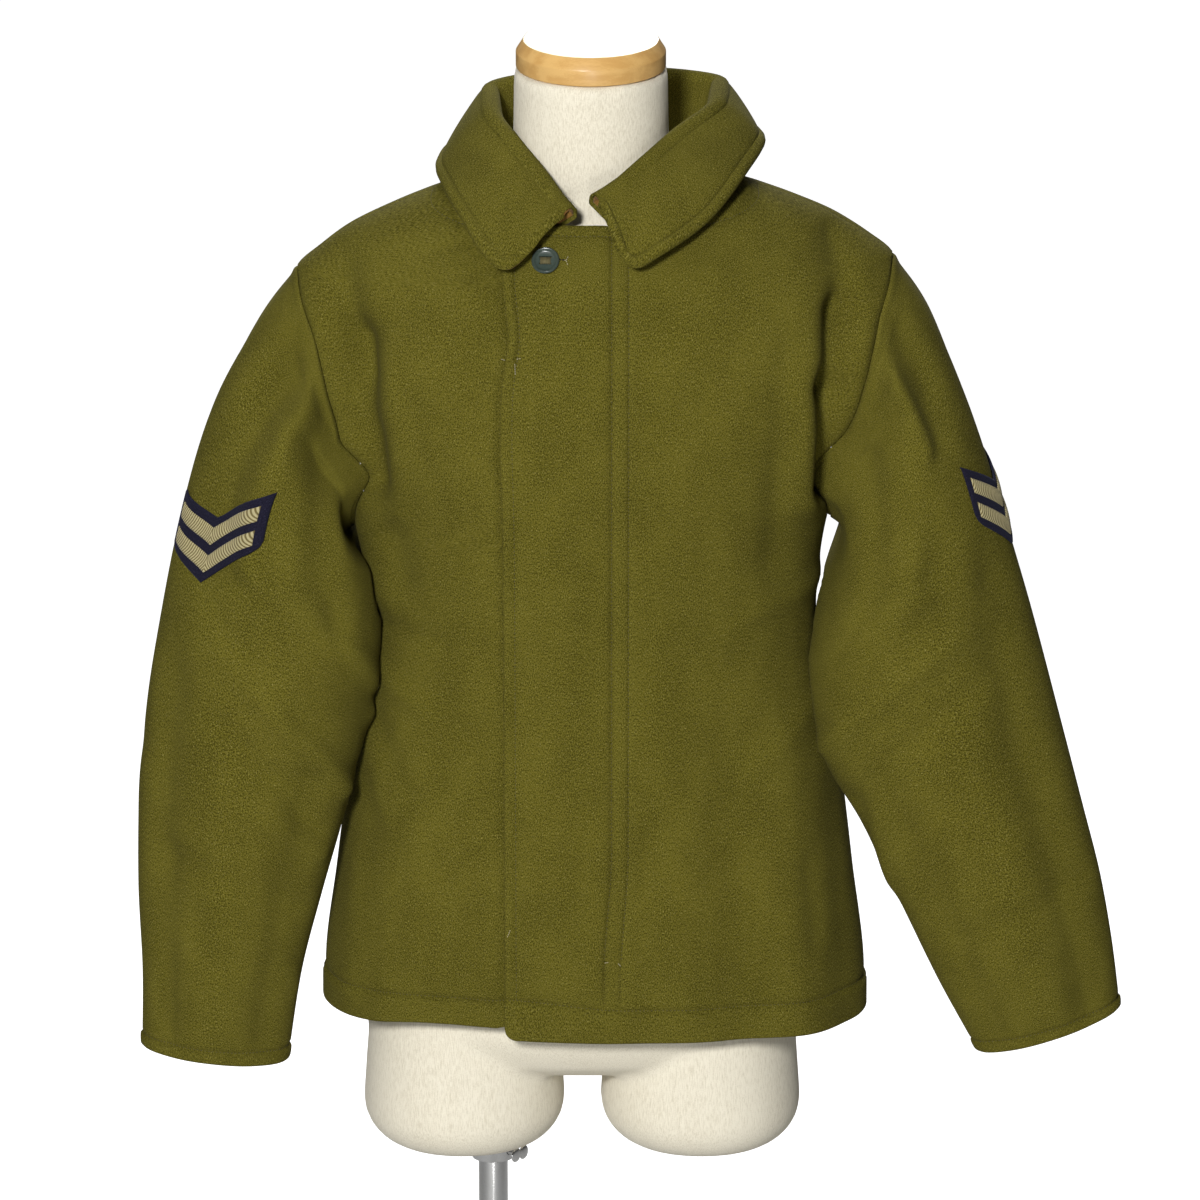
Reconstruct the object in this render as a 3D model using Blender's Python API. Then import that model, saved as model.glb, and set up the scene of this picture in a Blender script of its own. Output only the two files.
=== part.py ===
"""A wool uniform jacket with a turn-down collar, on a limbless dress form and its stand.

Metres, +Z up. The front faces -Y and the wearer's left is at +X. The origin is the centre of the
base plate's underside, on the floor. The jacket is cut in panels, each a wall of cloth with a
narrow gap at its seams. One rule, body_point, gives the worn shape of front and back, and
Sleeve.point that of a sleeve, which starts on the armhole's own points.
"""

import math

import bmesh
import bpy
import numpy as np
from mathutils import Matrix, Vector
from mathutils.bvhtree import BVHTree

# Cloth
CLOTH = 0.003  # thickness of the wool
HEM_EXTRA = 0.0018  # what the turned-up hem adds inside
SEAM_GAP = 0.0003  # between two sewn pieces
ARMHOLE_GAP = 0.0005  # the same at the armhole, where both edges turn
LAP_OUT = 0.0026  # how far the upper front stands out where the fronts overlap
LAP_IN = 0.0024  # how far the lower front lies in there

# Heights of the jacket's cut, at the sides
HEM_Z = 0.772
ARMPIT_Z = 1.165
SHOULDER_Z = 1.3705
NECK_Z = 1.437

# The front edges, measured from the centre plane
UPPER_FRONT_EDGE_X = -0.070
LOWER_FRONT_EDGE_X = -0.012
HEM_CORNER = 0.010  # radius of the rounded corner at the upper front's hem
LOWER_HEM_RISE = 0.008  # how much shorter the lower front is cut

# Rows of the body panels
HEM_TO_ARMPIT_ROWS = 11
ARMHOLE_ROWS = 12
SHOULDER_ROWS = 4
BACK_COLUMNS = 19
UPPER_FRONT_COLUMNS = 14
LOWER_FRONT_COLUMNS = 11

# z, half width, front depth, back depth, squareness of the section
BODY_SECTIONS = (
    (0.750, 0.2165, 0.1245, 0.1220, 2.30),
    (0.801, 0.2160, 0.1240, 0.1215, 2.30),
    (0.885, 0.2060, 0.1225, 0.1170, 2.30),
    (0.951, 0.1975, 0.1205, 0.1120, 2.30),
    (1.017, 0.1860, 0.1190, 0.1080, 2.30),
    (1.060, 0.1780, 0.1185, 0.1070, 2.30),
    (1.098, 0.1745, 0.1210, 0.1090, 2.30),
    (1.130, 0.1765, 0.1245, 0.1130, 2.30),
    (1.165, 0.1820, 0.1275, 0.1180, 2.30),
    (1.190, 0.1905, 0.1295, 0.1215, 2.30),
    (1.220, 0.2060, 0.1310, 0.1255, 2.30),
    (1.260, 0.2280, 0.1305, 0.1300, 2.30),
    (1.310, 0.2430, 0.1230, 0.1310, 2.25),
    (1.340, 0.2440, 0.1140, 0.1275, 2.15),
    (1.3705, 0.2320, 0.1020, 0.1220, 2.05),
    (1.3852, 0.2150, 0.0950, 0.1170, 2.00),
    (1.4008, 0.1925, 0.0850, 0.1110, 2.00),
    (1.4165, 0.1580, 0.0720, 0.1040, 2.00),
    (1.437, 0.1040, 0.0500, 0.0960, 2.00),
    (1.460, 0.0600, 0.0300, 0.0860, 2.00),
)
# z, distance of the armhole's edge from the centre plane
ARMHOLE_EDGE = (
    (1.165, 0.1820),
    (1.185, 0.1826),
    (1.210, 0.1870),
    (1.241, 0.2000),
    (1.272, 0.2080),
    (1.324, 0.2185),
    (1.355, 0.2285),
    (1.3705, 0.2320),
)
# z, rise towards the wearer's left for each metre across
TILT = ((0.75, -0.023), (0.95, 0.0), (1.15, 0.020), (1.37, 0.022), (1.46, 0.012))
NECK_FRONT_DROP = 0.029  # the neckline at the centre front, below its height at the sides
NECK_BACK_RISE = 0.014

# Folds of the worn body. face, x and z of one end, x and z of the other, half width, height
BODY_FOLDS = (
    ("front", -0.205, 1.235, -0.165, 1.120, 0.016, 0.0070),
    ("front", -0.168, 1.250, -0.150, 1.130, 0.014, -0.0050),
    ("front", 0.180, 1.300, 0.168, 1.190, 0.015, 0.0060),
    ("front", 0.152, 1.310, 0.140, 1.150, 0.014, -0.0045),
    ("front", 0.150, 0.990, 0.168, 0.740, 0.022, 0.0050),
    ("front", 0.105, 1.000, 0.118, 0.740, 0.020, -0.0035),
    ("front", -0.145, 0.980, -0.160, 0.740, 0.022, 0.0045),
    ("front", -0.100, 1.010, -0.108, 0.740, 0.018, -0.0030),
    ("back", -0.185, 1.260, -0.150, 1.130, 0.018, 0.0065),
    ("back", 0.185, 1.265, 0.152, 1.125, 0.018, 0.0065),
    ("back", -0.110, 1.230, -0.080, 1.080, 0.022, -0.0040),
    ("back", 0.105, 1.240, 0.086, 1.070, 0.022, -0.0045),
    ("back", -0.120, 1.040, 0.020, 1.060, 0.014, 0.0035),
    ("back", -0.125, 0.980, -0.145, 0.740, 0.024, 0.0055),
    ("back", -0.060, 1.000, -0.066, 0.740, 0.022, -0.0045),
    ("back", 0.020, 0.960, 0.028, 0.740, 0.022, 0.0045),
    ("back", 0.118, 0.990, 0.140, 0.740, 0.024, 0.0050),
)

# Sleeves, from the armhole to the cuff. For each section, where its outer and its inner line lie,
# and its half depth; the front is at negative y.
# outer x, outer y, outer z, inner x, inner y, inner z, half depth
SLEEVES = {
    "left": (
        (0.2320, 0.004, 1.3750, 0.1820, 0.004, 1.1690, 0.0700),
        (0.2580, 0.004, 1.3380, 0.1940, -0.008, 1.1580, 0.0760),
        (0.2890, 0.002, 1.2600, 0.1820, -0.038, 1.1300, 0.0760),
        (0.3140, -0.006, 1.1810, 0.1730, -0.058, 1.0900, 0.0710),
        (0.3390, -0.018, 1.1030, 0.1680, -0.064, 1.0490, 0.0665),
        (0.3610, -0.030, 1.0260, 0.1790, -0.069, 0.9900, 0.0620),
        (0.3810, -0.042, 0.9540, 0.2100, -0.070, 0.9340, 0.0560),
        (0.3990, -0.052, 0.8870, 0.2420, -0.070, 0.8670, 0.0500),
        (0.4090, -0.060, 0.8330, 0.2730, -0.069, 0.8030, 0.0450),
        (0.4150, -0.066, 0.7870, 0.3020, -0.068, 0.7500, 0.0410),
    ),
    "right": (
        (-0.2320, 0.004, 1.3650, -0.1820, 0.004, 1.1610, 0.0700),
        (-0.2560, 0.004, 1.3340, -0.1920, -0.009, 1.1560, 0.0760),
        (-0.2940, 0.002, 1.2600, -0.1710, -0.050, 1.1300, 0.0760),
        (-0.3185, -0.006, 1.1810, -0.1690, -0.062, 1.0850, 0.0715),
        (-0.3360, -0.018, 1.1030, -0.1760, -0.068, 1.0380, 0.0670),
        (-0.3500, -0.030, 1.0260, -0.1850, -0.070, 0.9880, 0.0625),
        (-0.3580, -0.042, 0.9510, -0.2000, -0.070, 0.9310, 0.0570),
        (-0.3595, -0.052, 0.8830, -0.2160, -0.069, 0.8740, 0.0510),
        (-0.3575, -0.060, 0.8150, -0.2320, -0.068, 0.8110, 0.0460),
        (-0.3590, -0.064, 0.7550, -0.2430, -0.066, 0.7420, 0.0420),
    ),
}
SLEEVE_RINGS = 23
SLEEVE_SQUARENESS = 2.15
HEAD_LENGTH = 0.30  # share of the sleeve over which the armhole's shape turns into an oval
SEAM_TURN = 0.04  # share by which the wall has turned away from the armhole's edge
SLEEVE_LENGTH = 0.62
SLEEVE_RADIUS = 0.070
SLEEVE_CLEARANCE = 0.0026  # between a sleeve and the side that it hangs against
# Folds of the sleeves. side, angle in degrees (0 outer, 90 front, 180 inner, 270 back) and share
# of the length at one end, the same at the other, half width, height
SLEEVE_FOLDS = (
    ("right", 78, 0.06, 88, 0.17, 0.013, 0.0065),
    ("right", 110, 0.12, 124, 0.30, 0.012, -0.0060),
    ("right", 52, 0.08, 58, 0.18, 0.013, -0.0045),
    ("right", 95, 0.47, 168, 0.60, 0.012, 0.0060),
    ("right", 85, 0.54, 150, 0.66, 0.011, -0.0045),
    ("right", 150, 0.36, 185, 0.42, 0.014, 0.0060),
    ("right", 285, 0.10, 275, 0.42, 0.015, 0.0060),
    ("right", 230, 0.14, 250, 0.40, 0.014, -0.0050),
    ("right", 190, 0.48, 262, 0.58, 0.013, 0.0050),
    ("right", 60, 0.72, 150, 0.78, 0.012, -0.0030),
    ("left", 72, 0.08, 100, 0.36, 0.013, 0.0065),
    ("left", 108, 0.10, 130, 0.34, 0.012, -0.0060),
    ("left", 42, 0.06, 50, 0.16, 0.012, -0.0045),
    ("left", 90, 0.44, 172, 0.54, 0.012, 0.0060),
    ("left", 80, 0.50, 165, 0.62, 0.011, -0.0045),
    ("left", 140, 0.62, 175, 0.74, 0.012, 0.0040),
    ("left", 282, 0.09, 272, 0.40, 0.015, 0.0060),
    ("left", 228, 0.13, 246, 0.42, 0.014, -0.0050),
    ("left", 196, 0.50, 266, 0.60, 0.013, 0.0050),
    ("left", 40, 0.76, 130, 0.82, 0.012, -0.0030),
)

# Collar, from the wearer's right front end round the back to the left one.
# angle on the neckline (degrees, 270 is the centre front), crest x, y, z, edge x, y, z
COLLAR_STATIONS = (
    (-98.0, -0.0190, -0.0860, 1.4200, -0.0520, -0.1120, 1.3860),
    (-101.0, -0.0230, -0.0850, 1.4240, -0.0670, -0.1120, 1.3800),
    (-106.0, -0.0290, -0.0800, 1.4300, -0.0820, -0.1060, 1.3900),
    (-122.0, -0.0440, -0.0650, 1.4480, -0.0990, -0.0800, 1.4130),
    (-148.0, -0.0640, -0.0360, 1.4680, -0.1130, -0.0400, 1.4300),
    (-175.0, -0.0800, 0.0050, 1.4850, -0.1190, 0.0060, 1.4390),
    (-215.0, -0.0820, 0.0520, 1.4960, -0.1080, 0.0700, 1.4460),
    (-250.0, -0.0350, 0.0820, 1.5030, -0.0500, 0.1150, 1.4420),
    (-270.0, 0.0050, 0.0860, 1.5050, 0.0050, 0.1210, 1.4400),
    (-290.0, 0.0480, 0.0820, 1.5050, 0.0600, 0.1140, 1.4440),
    (-325.0, 0.0980, 0.0540, 1.5010, 0.1190, 0.0680, 1.4600),
    (-365.0, 0.0950, 0.0060, 1.4920, 0.1280, 0.0120, 1.4580),
    (-392.0, 0.0660, -0.0380, 1.4750, 0.1140, -0.0400, 1.4430),
    (-416.0, 0.0420, -0.0640, 1.4580, 0.0840, -0.0860, 1.4130),
    (-434.0, 0.0180, -0.0800, 1.4400, 0.0500, -0.1080, 1.3920),
    (-442.0, 0.0060, -0.0850, 1.4330, 0.0300, -0.1130, 1.3820),
    (-446.0, 0.0000, -0.0870, 1.4300, 0.0180, -0.1130, 1.3860),
)
COLLAR_COLUMNS = 28
COLLAR_LAYER = 0.0021
LAYER_GAP = 0.0009  # between the collar and its undercollar
COLLAR_ROLL = 0.0042  # radius of the fold's roll
COLLAR_LIFT = 0.0008  # least distance between the collar's fall and the shoulder
NECK_SEAM_LIFT = 0.0014  # from the neckline's seam up to the collar's middle line
LEAF_ROWS = 4
ROLL_START = 3  # the first point of the roll on a section's path
FALL_START = 8  # the first point of the fall
LEAF_BULGE = 0.0035

# Button
BUTTON_RADIUS = 0.0106
BUTTON_THICKNESS = 0.0034
BUTTON_X = -0.0370
BUTTON_Z = 1.3835

# Chevrons. Their middle on the sleeve, as an angle and the height of the lower tip, and their V
CHEVRON_ANGLE = {"left": 35.0, "right": 60.0}
CHEVRON_TIP_Z = {"left": 1.153, "right": 1.130}
CHEVRON_LEAN = {"left": -0.10, "right": 0.13}  # rise towards the front, for each metre across
CHEVRON_HALF_WIDTH = 0.040
CHEVRON_SLOPE = 0.70
CHEVRON_HEIGHT = 0.050
CHEVRON_NARROWING = 0.14  # share by which the V is lower at its ends
CHEVRON_SEAT = 0.0012  # from the sleeve's rule to the backing
CHEVRON_BACKING = 0.0010
BRAID_SEAT = 0.0005
BRAID_WIDTH = 0.0135
BRAID_THICKNESS = 0.0009
BRAID_STARTS = (0.007, 0.0285)  # lower edge of each bar above the backing's lower edge

# Dress form. z, middle x, middle y, half width, front depth, back depth, forward lean in degrees
FORM_SECTIONS = (
    (0.722, -0.009, 0.004, 0.1500, 0.0600, 0.0600, 0.0),
    (0.736, -0.009, 0.004, 0.1690, 0.0850, 0.0860, 0.0),
    (0.770, -0.009, 0.004, 0.1765, 0.1030, 0.1050, 0.0),
    (0.840, -0.007, 0.003, 0.1800, 0.1060, 0.1070, 0.0),
    (0.920, -0.005, 0.002, 0.1740, 0.1040, 0.1020, 0.0),
    (1.010, -0.003, 0.000, 0.1560, 0.0980, 0.0930, 0.0),
    (1.090, 0.000, 0.000, 0.1490, 0.0980, 0.0920, 0.0),
    (1.170, 0.000, 0.002, 0.1560, 0.1060, 0.1020, 0.0),
    (1.250, 0.000, 0.006, 0.1680, 0.1100, 0.1100, 0.0),
    (1.310, 0.000, 0.010, 0.1860, 0.1020, 0.1040, 0.0),
    (1.345, 0.000, 0.010, 0.2000, 0.0900, 0.0980, 0.0),
    (1.362, 0.000, 0.010, 0.2100, 0.0820, 0.0940, 0.0),
    (1.376, 0.000, 0.010, 0.2080, 0.0760, 0.0900, 0.0),
    (1.392, 0.000, 0.010, 0.1950, 0.0700, 0.0850, 0.0),
    (1.406, 0.000, 0.010, 0.1720, 0.0650, 0.0800, 0.0),
    (1.418, -0.001, 0.008, 0.1350, 0.0620, 0.0740, 1.0),
    (1.430, -0.002, 0.004, 0.0950, 0.0600, 0.0680, 2.0),
    (1.446, -0.002, 0.000, 0.0660, 0.0600, 0.0620, 4.0),
    (1.470, -0.003, -0.004, 0.0602, 0.0590, 0.0590, 6.5),
    (1.522, -0.003, -0.012, 0.0592, 0.0590, 0.0590, 9.3),
)
FORM_SEGMENTS = 24
FORM_RINGS = 22
FORM_SQUARENESS = 2.15
FORM_GAP = 0.0012  # between the form and the cloth that it carries
STUB_SEGMENTS = 24
# The two thigh stumps: middle x, half width
STUBS = {"right": (-0.1055, 0.0810), "left": (0.0850, 0.0805)}
STUB_DEPTH = 0.0900
STUB_BOTTOM_Z = 0.655
STUB_TOP_Z = 0.800
STUB_ROUNDING = 0.034

# Neck cap, a turned disc of wood. radius and height of its profile, from the underside up
CAP_PROFILE = ((0.0570, 0.0), (0.0578, 0.0015), (0.0578, 0.0125), (0.0520, 0.0215), (0.0, 0.0225))
CAP_SEGMENTS = 36

# Stand
POLE_X = -0.0825
POLE_Y = 0.0
POLE_RADIUS = 0.01175
POLE_TOP_Z = 0.860
SOCKET_CLEARANCE = 0.0006
SOCKET_TOP_Z = 1.010
BASE_RADIUS = 0.200
BASE_THICKNESS = 0.008
BOSS_RADIUS = 0.024
BOSS_HEIGHT = 0.034
CLAMP_FLANGE_RADIUS = 0.029
CLAMP_FLANGE_THICKNESS = 0.0032
CLAMP_TUBE_RADIUS = 0.0170
CLAMP_TUBE_LENGTH = 0.0190
SCREW_RADIUS = 0.0030
SCREW_LENGTH = 0.0165
SCREW_DIRECTION = -38.0  # degrees from +X, seen from above
WING_SPAN = 0.0105
WING_HEIGHT = 0.0095
WING_THICKNESS = 0.0026
ROUND_SEGMENTS = 24

WOOL_GREEN = (0.118, 0.102, 0.018, 1.0)
NAVY_FELT = (0.017, 0.017, 0.050, 1.0)
DRAB_BRAID = (0.48, 0.42, 0.22, 1.0)
RUST_MELTON = (0.22, 0.10, 0.012, 1.0)
CREAM_JERSEY = (0.70, 0.62, 0.42, 1.0)
PALE_BIRCH = (0.70, 0.45, 0.18, 1.0)
BUTTON_GREY = (0.045, 0.055, 0.040, 1.0)
CHROME = (0.55, 0.55, 0.55, 1.0)


# ---------------------------------------------------------------- numbers


def curve(table, column):
    """The function that runs smoothly through one column of a table, by its first column, and
    never overshoots it."""
    xs = [row[0] for row in table]
    ys = [row[column] for row in table]
    steps = [(ys[i + 1] - ys[i]) / (xs[i + 1] - xs[i]) for i in range(len(xs) - 1)]
    slopes = [steps[0]]
    for before, after in zip(steps, steps[1:]):
        slopes.append(2 * before * after / (before + after) if before * after > 0 else 0.0)
    slopes.append(steps[-1])

    def value(x):
        x = min(max(x, xs[0]), xs[-1])
        i = min(int(np.searchsorted(xs, x, side="right")) - 1, len(xs) - 2)
        width = xs[i + 1] - xs[i]
        t = (x - xs[i]) / width
        start = (1 + 2 * t) * (1 - t) ** 2 * ys[i] + t * (1 - t) ** 2 * width * slopes[i]
        end = t * t * (3 - 2 * t) * ys[i + 1] + t * t * (t - 1) * width * slopes[i + 1]
        return start + end

    return value


def smoothstep(low, high, x):
    t = min(max((x - low) / (high - low), 0.0), 1.0)
    return t * t * (3 - 2 * t)


def signed_power(value, power):
    return math.copysign(abs(value) ** power, value)


def distance_to_segment(px, py, ax, ay, bx, by):
    dx, dy = bx - ax, by - ay
    t = ((px - ax) * dx + (py - ay) * dy) / (dx * dx + dy * dy)
    t = min(max(t, 0.0), 1.0)
    return math.hypot(px - ax - t * dx, py - ay - t * dy)


def unit(vector):
    return vector / np.linalg.norm(vector)


# ---------------------------------------------------------------- the worn shape of the body

half_width = curve(BODY_SECTIONS, 1)
front_depth = curve(BODY_SECTIONS, 2)
back_depth = curve(BODY_SECTIONS, 3)
squareness = curve(BODY_SECTIONS, 4)
armhole_edge = curve(ARMHOLE_EDGE, 1)
tilt = curve(TILT, 1)


def body_fold(x, y, z):
    height = 0.0
    frontness = 1.0 / (1.0 + math.exp(y / 0.008))
    for face, ax, az, bx, bz, width, rise in BODY_FOLDS:
        near = math.exp(-((distance_to_segment(x, z, ax, az, bx, bz) / width) ** 2))
        height += rise * near * (frontness if face == "front" else 1.0 - frontness)
    return height


def body_point(angle, z):
    """The outer face of the cloth: angle 0 is the wearer's left side, -90 degrees the front."""
    power = 2.0 / squareness(z)
    width = half_width(z)
    depth = back_depth(z) if math.sin(angle) > 0 else front_depth(z)
    x = width * signed_power(math.cos(angle), power)
    y = depth * signed_power(math.sin(angle), power)
    outward = unit(np.array([x / width**2, y / depth**2]))
    fold = body_fold(x, y, z)
    x += fold * outward[0]
    y += fold * outward[1]
    return np.array([x, y, z + tilt(z) * x])


def body_normal(angle, z):
    step_angle, step_z = 0.01, 0.0015
    across = body_point(angle + step_angle, z) - body_point(angle - step_angle, z)
    up = body_point(angle, z + step_z) - body_point(angle, z - step_z)
    return unit(np.cross(across, up))


def angle_at_x(x, z):
    """The angle in the first quarter where the section's edge lies x from the centre plane."""
    ratio = min(abs(x) / half_width(z), 1.0)
    return math.acos(ratio ** (squareness(z) / 2.0))


def angle_at_y(y, z):
    ratio = min(abs(y) / front_depth(z), 1.0)
    return math.asin(ratio ** (squareness(z) / 2.0))


def body_rows():
    """Heights of the rows at the sides, from hem to neck, closer together where they turn."""
    rows = [HEM_Z, HEM_Z + 0.006]
    for i in range(1, HEM_TO_ARMPIT_ROWS):
        rows.append(HEM_Z + 0.006 + (ARMPIT_Z - HEM_Z - 0.006) * i / HEM_TO_ARMPIT_ROWS)
    for i in range(ARMHOLE_ROWS + 1):
        share = i / ARMHOLE_ROWS
        share = 0.5 * share + 0.25 * (1 - math.cos(math.pi * share))
        rows.append(ARMPIT_Z + (SHOULDER_Z - ARMPIT_Z) * share)
    for i in range(1, SHOULDER_ROWS + 1):
        rows.append(SHOULDER_Z + (NECK_Z - SHOULDER_Z) * i / SHOULDER_ROWS)
    return rows


ARMPIT_ROW = HEM_TO_ARMPIT_ROWS + 1
SHOULDER_ROW = ARMPIT_ROW + ARMHOLE_ROWS


def side_angle(z):
    """How far from the side line a panel starts: at the seam's gap, or at the armhole's edge."""
    seam = angle_at_y(SEAM_GAP / 2, z)
    if ARMPIT_Z < z < SHOULDER_Z:
        return max(seam, angle_at_x(armhole_edge(z), z))
    return seam


def row_height(z, angle):
    """The height of a row at an angle, for the neckline that drops at the front."""
    share = smoothstep(SHOULDER_Z - 0.01, NECK_Z, z)
    if z <= SHOULDER_Z:
        share = 0.0
    turn = math.sin(angle)
    drop = -NECK_FRONT_DROP * turn * turn if turn < 0 else NECK_BACK_RISE * turn * turn
    return z + share * drop


def hem_height(z, row, x, panel):
    """The hem's own line: rounded at the upper front's corner, shorter on the lower front."""
    if row > 1:
        return z
    if panel == "lower":
        z += LOWER_HEM_RISE * smoothstep(-0.20, -0.13, x)
    if panel == "upper":
        inset = HEM_CORNER - (x - UPPER_FRONT_EDGE_X)
        if inset > 0 and row == 0:
            z += HEM_CORNER - math.sqrt(max(HEM_CORNER**2 - inset**2, 0.0))
    return z


def lap_offset(x, panel):
    if panel == "upper":
        return LAP_OUT * (1 - smoothstep(0.000, 0.045, x))
    if panel == "lower":
        return -LAP_IN * smoothstep(-0.105, -0.080, x)
    return 0.0


def panel_angles(panel, z, columns):
    """The angles of a row's columns, from one edge of the panel to the other."""
    side = side_angle(z)
    middle = row_height(z, -math.pi / 2)
    if panel == "back":
        start, end = side, math.pi - side
        shares = [i / columns for i in range(columns + 1)]
    elif panel == "upper":
        start, end = -side, -math.pi + angle_at_x(UPPER_FRONT_EDGE_X, middle)
        shares = [i / (columns - 2) for i in range(columns - 1)]
        shares = shares[:-1] + [1 - 0.38 / (columns - 2), 1 - 0.12 / (columns - 2), 1.0]
    else:
        start, end = -math.pi + side, -math.pi + angle_at_x(LOWER_FRONT_EDGE_X, middle)
        shares = [i / columns for i in range(columns + 1)]
    return [start + (end - start) * share for share in shares]


def panel_grids(panel, columns):
    """Outer and inner points of a body panel, row by row from the hem."""
    outer, inner = [], []
    for row, z in enumerate(body_rows()):
        outer_row, inner_row = [], []
        for angle in panel_angles(panel, z, columns):
            height = row_height(z, angle)
            flat = body_point(angle, height)
            height = hem_height(height, row, flat[0], panel)
            normal = body_normal(angle, height)
            point = body_point(angle, height) + lap_offset(flat[0], panel) * normal
            lapped = panel == "upper" and flat[0] < 0.02
            thickness = CLOTH + (HEM_EXTRA if row < 2 and not lapped else 0.0)
            outer_row.append(point)
            inner_row.append(point - thickness * normal)
        outer.append(outer_row)
        inner.append(inner_row)
    return outer, inner


# ---------------------------------------------------------------- the worn shape of a sleeve


def pushed_clear(point, samples, normals, gap):
    """The point, moved out along the nearest sample's normal until it is gap away from it."""
    nearest = int(np.argmin(((samples - point) ** 2).sum(axis=1)))
    height = (point - samples[nearest]) @ normals[nearest]
    return point + max(gap - height, 0.0) * normals[nearest]


def side_samples():
    """Points and normals over both sides of the body below the armholes' edges."""
    points, normals = [], []
    for z in np.arange(0.90, 1.36, 0.010):
        limit = side_angle(z)
        for degrees in range(-180, 180, 5):
            angle = math.radians(degrees)
            off_side = abs(math.atan2(math.sin(angle), abs(math.cos(angle))))
            if abs(math.cos(angle)) < 0.35 or off_side < limit:
                continue
            points.append(body_point(angle, z))
            normals.append(body_normal(angle, z))
    return np.array(points), np.array(normals)


def armhole_loop(side, fronts, back):
    """Outer and inner points of the armhole's edge: from the shoulder down the front to the
    armpit, and up the back."""
    back_column = -1 if side == "right" else 0
    rows = range(ARMPIT_ROW, SHOULDER_ROW + 1)
    loops = []
    for layer in (0, 1):
        front = [fronts[layer][row][0] for row in rows]
        behind = [back[layer][row][back_column] for row in rows]
        loops.append(front[::-1] + behind[1:-1])
    return np.array(loops[0]), np.array(loops[1])


def surface_of(grid):
    """A surface to cast rays on, through a grid whose last column joins the first."""
    count = len(grid[0])
    points = [Vector(point) for row in grid for point in row]
    faces = []
    for row in range(len(grid) - 1):
        for i in range(count):
            j = (i + 1) % count
            low, high = row * count, (row + 1) * count
            faces.append((low + i, low + j, high + j))
            faces.append((low + i, high + j, high + i))
    return BVHTree.FromPolygons(points, faces)


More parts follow.
